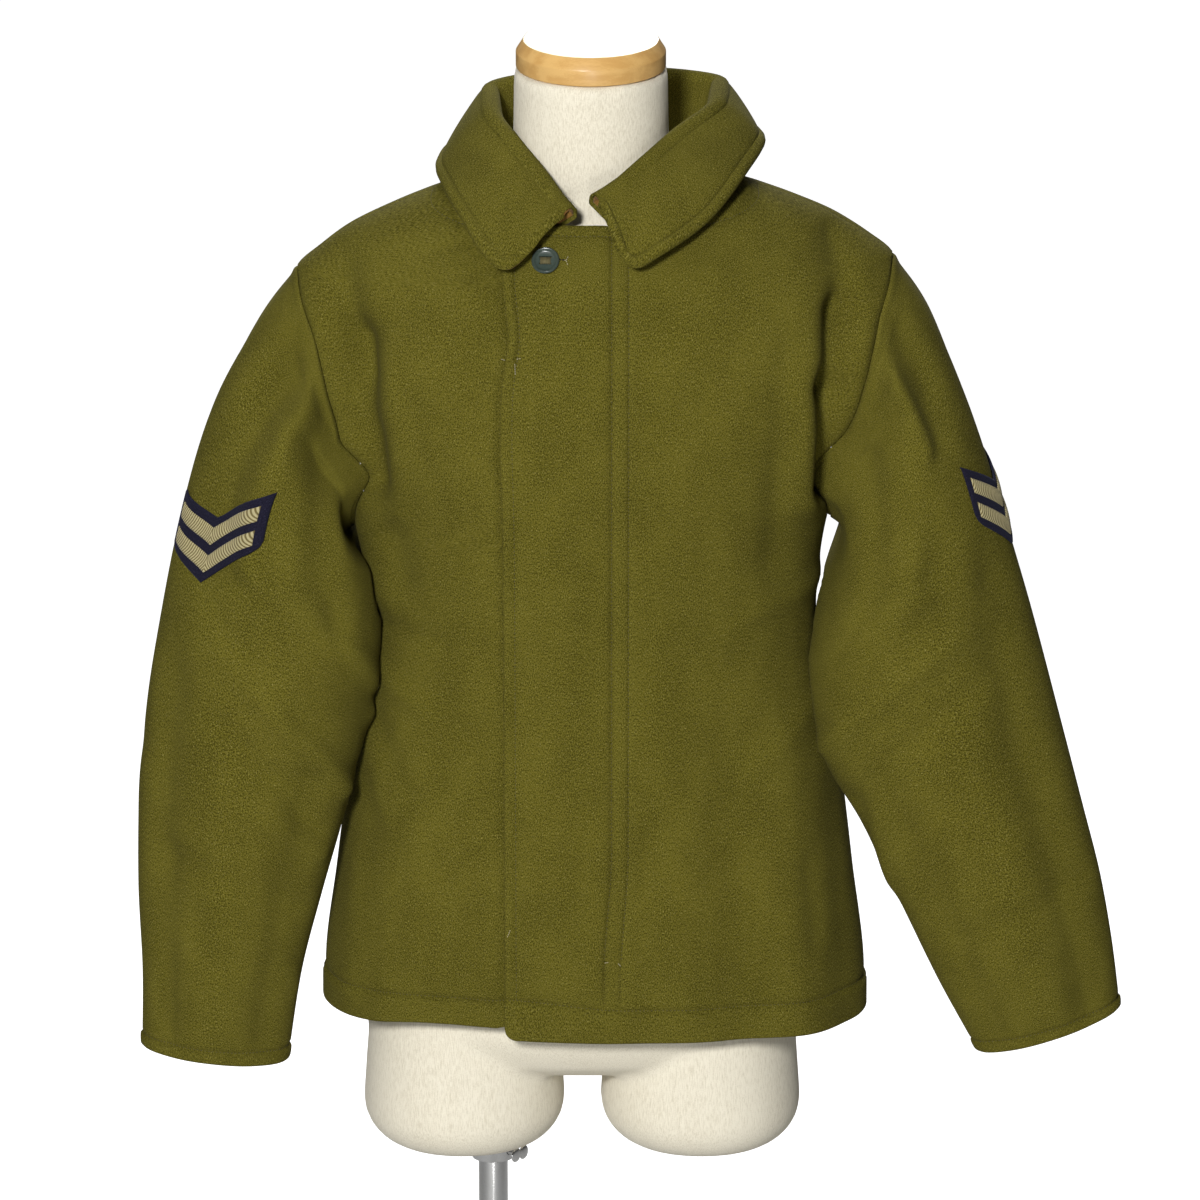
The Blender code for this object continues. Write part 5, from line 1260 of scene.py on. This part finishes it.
class Patch:
    """The stretch of sleeve under a chevron, read by across and height in the chevron's plane."""

    def __init__(self, sleeve):
        self.across = np.linspace(-CHEVRON_HALF_WIDTH, CHEVRON_HALF_WIDTH, 45)
        self.heights = np.linspace(0.0, CHEVRON_HEIGHT, 17)
        middle = math.radians(CHEVRON_ANGLE[sleeve.side])
        angles = middle - self.across / SLEEVE_RADIUS
        shares = np.linspace(0.08, 0.62, 55)
        lines = np.array([sleeve.ring(angles, share)[:, 2] for share in shares])
        points, normals = [], []
        for column, across in enumerate(self.across):
            rise = CHEVRON_SLOPE * abs(across) - CHEVRON_LEAN[sleeve.side] * across
            narrowed = 1.0 - CHEVRON_NARROWING * abs(across) / CHEVRON_HALF_WIDTH
            levels = CHEVRON_TIP_Z[sleeve.side] + rise + self.heights * narrowed
            places = np.interp(-levels, -lines[:, column], shares)
            angle = angles[column:column + 1]
            points.append([sleeve.ring(angle, place)[0] for place in places])
            normals.append([sleeve.normals(angle, place)[0] for place in places])
        self.points, self.normals = np.array(points), np.array(normals)

    def at(self, across, height):
        """Points and normals for arrays of places, between those of the table."""
        i = np.interp(across, self.across, np.arange(len(self.across)))
        j = np.interp(height, self.heights, np.arange(len(self.heights)))
        i0 = np.minimum(i.astype(int), len(self.across) - 2)
        j0 = np.minimum(j.astype(int), len(self.heights) - 2)
        u, v = (i - i0)[..., None], (j - j0)[..., None]

        def between(table):
            low = table[i0, j0] * (1 - u) + table[i0 + 1, j0] * u
            high = table[i0, j0 + 1] * (1 - u) + table[i0 + 1, j0 + 1] * u
            return low * (1 - v) + high * v

        return between(self.points), unit(between(self.normals))

    def outward(self, _):
        """The outward side at the patch's middle, which serves for all of it."""
        return Vector(self.normals[22, 8])


def corner_rise(across, half_width):
    """How far a chevron's lower edge is cut up at its ends."""
    inset = np.clip(CHEVRON_CORNER - (half_width - np.abs(across)), 0.0, CHEVRON_CORNER)
    return CHEVRON_CORNER - np.sqrt(np.maximum(CHEVRON_CORNER**2 - inset**2, 0.0))


def make_chevron(side, patch):
    across = stations(-CHEVRON_HALF_WIDTH, CHEVRON_HALF_WIDTH, 0.0016)
    across = np.unique(np.append(across, 0.0))
    shares = stations(0.0, CHEVRON_HEIGHT, 0.0016) / CHEVRON_HEIGHT
    grid_across, grid_share = np.meshgrid(across, shares)
    low = corner_rise(grid_across, CHEVRON_HALF_WIDTH)
    height = low + (CHEVRON_HEIGHT - low) * grid_share
    points, normals = patch.at(grid_across, height)
    to_end = CHEVRON_HALF_WIDTH - np.abs(grid_across)
    to_edge = np.minimum(np.minimum(height - low, CHEVRON_HEIGHT - height), to_end)
    lift = FELT_LIFT + 0.0006 * smoothstep(CHEVRON_BORDER, CHEVRON_BORDER - 0.001, to_edge)
    lift += rolled_edge(to_edge, 0.0020, 0.0012)
    uvs = np.stack([grid_across, height], axis=-1)
    cloth_piece(
        f"{side}_chevron_felt", f"{side}_chevron_backing", "felt",
        points + lift[..., None] * normals, uvs, felt, FELT_THICKNESS, patch.outward, edge=0.0,
    )
    for name, start in zip(("lower", "upper"), BRAID_STARTS):
        make_bar(side, name, start, patch)


def make_bar(side, name, start, patch):
    half = CHEVRON_HALF_WIDTH - CHEVRON_BORDER
    along = math.hypot(1.0, CHEVRON_SLOPE)
    count = 2 * int(round(half * along / BRAID_PITCH * 3.5))
    across, share = np.meshgrid(np.linspace(-half, half, count + 1), np.linspace(0.0, 1.0, 15))
    height = start + BRAID_WIDTH * share
    points, normals = patch.at(across, np.maximum(height, corner_rise(across, CHEVRON_HALF_WIDTH) + 0.004))
    run = np.abs(across) * along + BRAID_CURVE * np.sin(math.pi * share) + 0.5 * BRAID_WIDTH * (share - 0.5)
    phase = run / BRAID_PITCH
    crown = np.sqrt(np.maximum(1 - (2 * share - 1) ** 2, 0.0))
    to_end = half - np.abs(across)
    lift = BRAID_LIFT + 0.0009 * crown * smoothstep(0.0, 0.0015, to_end)
    lift += 0.00030 * np.cos(2 * math.pi * phase) * crown
    uvs = np.stack([phase, share], axis=-1)
    cloth_piece(
        f"{side}_chevron_{name}_braid", f"{side}_chevron_{name}_bar", "braid",
        points + lift[..., None] * normals, uvs, braid, BRAID_THICKNESS, patch.outward, edge=0.0,
    )


# ---------------------------------------------------------------- turned pieces


def turned_mesh(profile, segments, place=Matrix.Identity(4), rounding=0.0):
    """A body turned about its own Z from (radius, height) points, its corners rounded."""
    bm = bmesh.new()
    points = [bm.verts.new((radius, 0.0, height)) for radius, height in profile]
    edges = [bm.edges.new(pair) for pair in zip(points, points[1:])]
    bmesh.ops.spin(
        bm, geom=points + edges, cent=(0, 0, 0), axis=(0, 0, 1), angle=2 * math.pi,
        steps=segments, use_merge=True,
    )
    bmesh.ops.remove_doubles(bm, verts=bm.verts, dist=1e-6)
    bmesh.ops.recalc_face_normals(bm, faces=bm.faces)
    if rounding:
        corners = [e for e in bm.edges if len(e.link_faces) == 2 and e.calc_face_angle() > math.radians(24)]
        bmesh.ops.bevel(
            bm, geom=corners, offset=rounding, segments=3, affect="EDGES", profile=0.5, material=-1,
            offset_type="OFFSET", clamp_overlap=True,
        )
    bmesh.ops.transform(bm, matrix=place, verts=bm.verts)
    return bm


def solid_piece(name, node, bm, finish, body):
    if bm.calc_volume(signed=True) < 0:
        bmesh.ops.reverse_faces(bm, faces=bm.faces)
    piece = worn(finish_piece(name, bm, finish), body)
    piece.data.set_sharp_from_angle(angle=math.radians(35))
    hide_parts(node)
    return piece


def cut_away(piece, cutters):
    """The piece with the cutters' shapes taken out of it for good."""
    for number, bm in enumerate(cutters):
        tool = finish_piece(f"{piece.name}_cutter_{number}", bm, piece.data.materials[0])
        cut = piece.modifiers.new("cut", "BOOLEAN")
        cut.object = tool
        cut.operation = "DIFFERENCE"
        baked(piece)
        bpy.data.objects.remove(tool, do_unlink=True)
    return piece


def baked(piece):
    """The piece with its modifiers applied."""
    bpy.context.view_layer.update()
    mesh = bpy.data.meshes.new_from_object(piece.evaluated_get(bpy.context.evaluated_depsgraph_get()))
    piece.modifiers.clear()
    piece.data = mesh
    return piece


# ---------------------------------------------------------------- button

BUTTON_RADIUS = 0.0106
BUTTON_THICKNESS = 0.0034
BUTTON_X = -0.0370
BUTTON_Z = 1.3835
BUTTON_WELL = (0.0092, 0.0056)  # the sunk bar between the two slots
BUTTON_SLOT = (0.0094, 0.0011)


def button_place():
    angle = np.array([-math.pi / 2 - math.asin(abs(BUTTON_X) / float(half_width(BUTTON_Z)))])
    height = np.array([BUTTON_Z])
    normal = body_normal(angle, height)[0]
    seat = body_point(angle, height)[0] + ON_FRONT * normal
    facing = Vector(normal).to_track_quat("Z", "X").to_matrix().to_4x4()
    return Matrix.Translation(seat) @ facing @ Matrix.Rotation(math.pi / 2, 4, "Z")


def cube(size, place):
    bm = bmesh.new()
    bmesh.ops.create_cube(bm, size=1.0, matrix=place @ Matrix.Diagonal((*size, 1.0)))
    return bm


def make_button():
    place = button_place()
    radius, thickness = BUTTON_RADIUS, BUTTON_THICKNESS
    profile = (
        (0.0, 0.0), (radius * 0.80, 0.0), (radius * 0.97, thickness * 0.40), (radius, thickness * 0.62),
        (radius * 0.965, thickness * 0.86), (radius * 0.89, thickness), (radius * 0.80, thickness * 0.93),
        (radius * 0.72, thickness * 0.66), (radius * 0.66, thickness * 0.60), (0.0, thickness * 0.62),
    )
    piece = solid_piece(
        "tunic_button", "button", turned_mesh(profile, 72, place), button_plastic, "form"
    )
    cutters = [cube((*BUTTON_WELL, 0.0012), place @ Matrix.Translation((0, 0, thickness * 0.66)))]
    for side in (1, -1):
        offset = Matrix.Translation((0, side * (BUTTON_WELL[1] / 2 - 0.0002), 0))
        cutters.append(cube((*BUTTON_SLOT, 0.02), place @ offset))
    cut_away(piece, cutters)
    piece.data.set_sharp_from_angle(angle=math.radians(35))
    cross_bar = cube((0.0080, 0.0052, 0.0005), place @ Matrix.Translation((0, 0, thickness * 0.44)))
    tape = worn(finish_piece("button_tape", cross_bar, khaki_tape), "form")


# ---------------------------------------------------------------- dress form

# z, x and y of the middle, half width, front depth, back depth, lean back in degrees
FORM_SECTIONS = (
    (0.722, -0.009, 0.004, 0.1500, 0.0600, 0.0600, 0.0),
    (0.736, -0.009, 0.004, 0.1690, 0.0850, 0.0860, 0.0),
    (0.770, -0.009, 0.004, 0.1765, 0.1030, 0.1050, 0.0),
    (0.840, -0.007, 0.003, 0.1800, 0.1060, 0.1070, 0.0),
    (0.920, -0.005, 0.002, 0.1740, 0.1040, 0.1020, 0.0),
    (1.010, -0.003, 0.000, 0.1560, 0.0980, 0.0930, 0.0),
    (1.090, 0.000, 0.000, 0.1490, 0.0980, 0.0920, 0.0),
    (1.170, 0.000, 0.002, 0.1560, 0.1060, 0.1020, 0.0),
    (1.250, 0.000, 0.006, 0.1680, 0.1100, 0.1100, 0.0),
    (1.310, 0.000, 0.010, 0.1860, 0.1020, 0.1040, 0.0),
    (1.345, 0.000, 0.010, 0.2000, 0.0900, 0.0980, 0.0),
    (1.362, 0.000, 0.010, 0.2100, 0.0820, 0.0940, 0.0),
    (1.376, 0.000, 0.010, 0.2080, 0.0760, 0.0900, 0.0),
    (1.392, 0.000, 0.010, 0.1950, 0.0700, 0.0850, 0.0),
    (1.406, 0.000, 0.010, 0.1720, 0.0650, 0.0800, 0.0),
    (1.418, -0.001, 0.008, 0.1350, 0.0620, 0.0740, 1.0),
    (1.430, -0.002, 0.004, 0.0950, 0.0600, 0.0680, 2.0),
    (1.446, -0.002, 0.000, 0.0660, 0.0600, 0.0620, 4.0),
    (1.470, -0.003, -0.004, 0.0602, 0.0590, 0.0590, 6.5),
    (1.522, -0.003, -0.012, 0.0592, 0.0590, 0.0590, 9.3),
)
FORM_SQUARENESS = 2.15
FORM_GAP = 0.0012
# x of the middle and half width of each thigh stump
STUBS = {"right": (-0.1055, 0.0810), "left": (0.0850, 0.0805)}
STUB_DEPTH = 0.0900
STUB_BOTTOM_Z = 0.655
STUB_TOP_Z = 0.800
STUB_ROUNDING = 0.034
POLE_X = -0.0825
POLE_RADIUS = 0.01175
POLE_TOP_Z = 0.860
SOCKET_CLEARANCE = 0.0006
SOCKET_TOP_Z = 1.010


def oval(middle, width, front, back, lean, segments):
    turn = np.arange(segments) * 2 * math.pi / segments
    depth = np.where(np.sin(turn) > 0, back, front)
    x = width * signed_power(np.cos(turn), 2 / FORM_SQUARENESS)
    y = depth * signed_power(np.sin(turn), 2 / FORM_SQUARENESS)
    lean = math.radians(lean)
    points = np.stack([x, y * math.cos(lean), y * math.sin(lean)], axis=-1)
    return points + np.array(middle)


def lofted(rings):
    """A closed body through rings of points, with flat ends."""
    points = np.array([np.vstack([ring, ring[:1]]) for ring in rings])
    bm = grid_mesh(points, np.zeros((*points.shape[:2], 2)), closed=True)
    bmesh.ops.holes_fill(bm, edges=[edge for edge in bm.edges if edge.is_boundary], sides=0)
    bmesh.ops.recalc_face_normals(bm, faces=bm.faces)
    return bm


def form_samples():
    points, normals = [], []
    angles = np.radians(np.arange(0, 360, 3.0))
    for z in np.arange(1.26, 1.445, 0.004):
        rows = np.full_like(angles, z)
        normal = body_normal(angles, rows)
        points.append(body_point(angles, rows) - (CLOTH + 0.0008) * normal)
        normals.append(-normal)
    return tree_of(np.concatenate(points), np.concatenate(normals))


def torso_rings():
    columns = [curve(FORM_SECTIONS, i) for i in range(1, 7)]
    samples = form_samples()
    rings = []
    for z in np.linspace(FORM_SECTIONS[0][0], FORM_SECTIONS[-1][0], 130):
        mx, my, width, front, back, lean = [float(column(z)) for column in columns]
        points = oval((mx, my, z), width, front, back, lean, 96)
        if 1.27 < z < 1.435:
            points = pushed_clear(points, samples, FORM_GAP)
        rings.append(points)
    return rings


def stub_rings(middle, width):
    rings = []
    for degrees in np.linspace(4, 90, 12):
        turn = math.radians(degrees)
        z = STUB_BOTTOM_Z + STUB_ROUNDING * (1 - math.cos(turn))
        inset = STUB_ROUNDING * (1 - math.sin(turn))
        depth = STUB_DEPTH - inset
        rings.append(oval((middle, 0.004, z), width - inset, depth, depth, 0.0, 96))
    for share in (0.25, 0.5, 0.75, 1.0):
        z = STUB_BOTTOM_Z + STUB_ROUNDING + share * (STUB_TOP_Z - STUB_BOTTOM_Z - STUB_ROUNDING)
        rings.append(oval((middle, 0.004, z), width * (1 - 0.1 * share), STUB_DEPTH * (1 - 0.05 * share),
                          STUB_DEPTH * (1 - 0.05 * share), 0.0, 96))
    return rings


def make_form():
    bm = lofted(torso_rings())
    for middle, width in STUBS.values():
        stub = lofted(stub_rings(middle, width))
        mesh = bpy.data.meshes.new("stub")
        stub.to_mesh(mesh)
        bm.from_mesh(mesh)
        bpy.data.meshes.remove(mesh)
    piece = finish_piece("dress_form_cover", bm, jersey)
    remesh = piece.modifiers.new("one skin", "REMESH")
    remesh.mode = "VOXEL"
    remesh.voxel_size = 0.0046
    smooth = piece.modifiers.new("smooth", "SMOOTH")
    smooth.factor = 0.5
    smooth.iterations = 6
    baked(piece)
    piece.data.materials.clear()
    piece.data.materials.append(jersey)
    bore = bmesh.new()
    bmesh.ops.create_cone(
        bore, cap_ends=True, segments=64, radius1=POLE_RADIUS + SOCKET_CLEARANCE,
        radius2=POLE_RADIUS + SOCKET_CLEARANCE, depth=SOCKET_TOP_Z - 0.6,
        matrix=Matrix.Translation((POLE_X, 0, (SOCKET_TOP_Z + 0.6) / 2)),
    )
    cut_away(piece, [bore])
    piece.data.shade_smooth()
    piece.data.set_sharp_from_angle(angle=math.radians(50))
    worn(piece)
    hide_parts("dress_form")


CAP_PROFILE = (
    (0.0, 0.0), (0.0570, 0.0), (0.0578, 0.0008), (0.0578, 0.0125), (0.0520, 0.0215), (0.0, 0.0225)
)


def make_cap():
    x, y, _, _, _, lean = [float(curve(FORM_SECTIONS, i)(FORM_SECTIONS[-1][0])) for i in range(1, 7)]
    tilted = Matrix.Rotation(math.radians(lean), 4, "X")
    seat = Vector((x, y, FORM_SECTIONS[-1][0])) + tilted.to_3x3() @ Vector((0, 0, SEAM_GAP))
    bm = turned_mesh(CAP_PROFILE, 96, Matrix.Translation(seat) @ tilted, rounding=0.0009)
    up = tilted.to_3x3() @ Vector((0, 0, 1))
    piece = solid_piece("birch_cap", "neck_cap", bm, birch_painted_shaded_side, "form")
    piece.data.materials.append(birch_painted_lit_top)
    # faces turned up take the paler birch as painted light from above, the rest take the darker birch as
    # painted shade
    for polygon in piece.data.polygons:
        polygon.material_index = 1 if polygon.normal.dot(up) > 0.75 else 0


# ---------------------------------------------------------------- stand

BASE_RADIUS = 0.200
BASE_THICKNESS = 0.008
BOSS_RADIUS = 0.024
BOSS_HEIGHT = 0.034
FLANGE_RADIUS = 0.029
FLANGE_THICKNESS = 0.0032
TUBE_RADIUS = 0.0170
TUBE_LENGTH = 0.0190
SCREW_RADIUS = 0.0030
SCREW_LENGTH = 0.0165
SCREW_DIRECTION = -38.0
WING_SPAN = 0.0105
WING_HEIGHT = 0.0059
WING_THICKNESS = 0.0026


def make_stand():
    at_pole = Matrix.Translation((POLE_X, 0, 0))
    bottom = BASE_THICKNESS + 0.0003
    pole = ((0.0, bottom), (POLE_RADIUS, bottom), (POLE_RADIUS, POLE_TOP_Z), (0.0, POLE_TOP_Z))
    solid_piece("chrome_pole", "pole", turned_mesh(pole, 96, at_pole, 0.0006), chrome, "stand")
    base = (
        (0.0, 0.0), (BASE_RADIUS, 0.0), (BASE_RADIUS, BASE_THICKNESS * 0.6),
        (BASE_RADIUS - BASE_THICKNESS * 0.4, BASE_THICKNESS), (0.0, BASE_THICKNESS),
    )
    plate = turned_mesh(base, 144, Matrix.Identity(4), 0.0008)
    solid_piece("round_base", "base_plate", plate, chrome, "stand")
    hole = POLE_RADIUS + 0.0004
    boss = (
        (hole, 0.0), (BOSS_RADIUS, 0.0), (BOSS_RADIUS, BOSS_HEIGHT * 0.25),
        (BOSS_RADIUS * 0.78, BOSS_HEIGHT * 0.40), (BOSS_RADIUS * 0.72, BOSS_HEIGHT * 0.94),
        (BOSS_RADIUS * 0.66, BOSS_HEIGHT), (hole, BOSS_HEIGHT), (hole, 0.0),
    )
    seat = at_pole @ Matrix.Translation((0, 0, bottom))
    solid_piece("pole_boss", "base_boss", turned_mesh(boss, 96, seat, 0.0004), chrome, "stand")


def make_clamp():
    top = STUB_BOTTOM_Z - SEAM_GAP
    low = top - TUBE_LENGTH
    hole = POLE_RADIUS + SOCKET_CLEARANCE
    profile = (
        (hole, low), (TUBE_RADIUS, low), (TUBE_RADIUS, top - FLANGE_THICKNESS),
        (FLANGE_RADIUS, top - FLANGE_THICKNESS), (FLANGE_RADIUS, top), (hole, top), (hole, low),
    )
    at_pole = Matrix.Translation((POLE_X, 0, 0))
    clamp = solid_piece(
        "pole_socket", "clamp_socket", turned_mesh(profile, 96, at_pole, 0.0004), chrome, "form"
    )
    screw_z = (low + top - FLANGE_THICKNESS) / 2
    facing = Matrix.Rotation(math.radians(SCREW_DIRECTION), 4, "Z") @ Matrix.Rotation(math.pi / 2, 4, "Y")
    place = Matrix.Translation((POLE_X, 0, screw_z)) @ facing
    drill = bmesh.new()
    bmesh.ops.create_cone(
        drill, cap_ends=True, segments=48, radius1=SCREW_RADIUS + SEAM_GAP, radius2=SCREW_RADIUS + SEAM_GAP,
        depth=0.026, matrix=place @ Matrix.Translation((0, 0, 0.017)),
    )
    cut_away(clamp, [drill])
    clamp.data.set_sharp_from_angle(angle=math.radians(35))
    start = POLE_RADIUS + 0.0004
    shaft = (
        (0.0, start), (SCREW_RADIUS * 0.8, start), (SCREW_RADIUS, start + 0.0006),
        (SCREW_RADIUS, start + SCREW_LENGTH), (0.0, start + SCREW_LENGTH),
    )
    bm = turned_mesh(shaft, 48, place, 0.0002)
    for side in (-1, 1):
        wing = Matrix.Translation((0, side * WING_SPAN * 0.46, start + SCREW_LENGTH - 0.001))
        size = Matrix.Diagonal((WING_HEIGHT, WING_SPAN * 0.54, WING_THICKNESS / 2, 1.0))
        bmesh.ops.create_uvsphere(bm, u_segments=32, v_segments=16, radius=1.0, matrix=place @ wing @ size)
    solid_piece("wing_screw_head", "wing_screw", bm, chrome, "form")


# ---------------------------------------------------------------- building


panels, sleeves = make_jacket()
for side, (sleeve, _) in sleeves.items():
    make_chevron(side, Patch(sleeve))
make_stitches(panels, sleeves)
make_button()
make_form()
make_cap()
make_stand()
make_clamp()

# ---------------------------------------------------------------- floor, light and camera

# the view of the photo: a long lens, a little above the jacket
TARGET = Vector((0.004, 0.0, 1.098))
CAMERA_DISTANCE = 4.0
CAMERA_ELEVATION = math.radians(13.0)
LENS = 151.9


def make_floor():
    bm = bmesh.new()
    bmesh.ops.create_grid(bm, x_segments=1, y_segments=1, size=30.0)
    bmesh.ops.translate(bm, verts=bm.verts, vec=(0, 0, -0.0004))
    paint = bpy.data.materials.new("floor paint")
    paint.use_nodes = True
    shader = paint.node_tree.nodes["Principled BSDF"]
    shader.inputs["Base Color"].default_value = (0.46, 0.46, 0.455, 1)
    shader.inputs["Roughness"].default_value = 0.8
    shader.inputs["Specular IOR Level"].default_value = 0.0
    shader.inputs["Emission Color"].default_value = (1, 1, 1, 1)
    seen = paint.node_tree.nodes.new("ShaderNodeLightPath")
    paint.node_tree.links.new(seen.outputs["Is Camera Ray"], shader.inputs["Emission Strength"])
    floor = finish_piece("floor", bm, paint)


def area_light(name, place, aim, size, power):
    light = bpy.data.lights.new(name, "AREA")
    light.shape = "DISK"
    light.size = size
    light.energy = power
    made = bpy.data.objects.new(name, light)
    made.matrix_world = (
        Matrix.Translation(place)
        @ (Vector(aim) - Vector(place)).to_track_quat("-Z", "Y").to_matrix().to_4x4()
    )
    bpy.context.scene.collection.objects.link(made)


def make_light():
    world = bpy.data.worlds.new("studio")
    world.use_nodes = True
    background = world.node_tree.nodes["Background"]
    background.inputs["Color"].default_value = (1.0, 1.0, 1.0, 1.0)
    background.inputs["Strength"].default_value = 0.09
    bpy.context.scene.world = world
    area_light("key", (-0.80, -4.20, 2.7), (0, 0, 1.12), 0.7, 204)
    area_light("low", (0.1, -3.6, 0.25), (0, 0, 0.80), 0.6, 16)
    area_light("top", (-0.2, 0.4, 3.9), (0, 0, 1.1), 1.6, 26)
    area_light("back", (0.3, 3.3, 3.3), (0, 0, 1.1), 1.4, 95)
    bpy.context.scene.view_settings.view_transform = "Standard"


def make_camera():
    camera = bpy.data.objects.new("camera", bpy.data.cameras.new("camera"))
    camera.data.lens = LENS
    camera.data.sensor_width = 36.0
    camera.data.sensor_fit = "HORIZONTAL"
    camera.data.clip_end = 100.0
    away = Vector((0.0, -math.cos(CAMERA_ELEVATION), math.sin(CAMERA_ELEVATION)))
    place = TARGET + CAMERA_DISTANCE * away
    camera.matrix_world = Matrix.Translation(place) @ (-away).to_track_quat("-Z", "Y").to_matrix().to_4x4()
    bpy.context.scene.collection.objects.link(camera)
    bpy.context.scene.camera = camera


make_floor()
make_light()
make_camera()
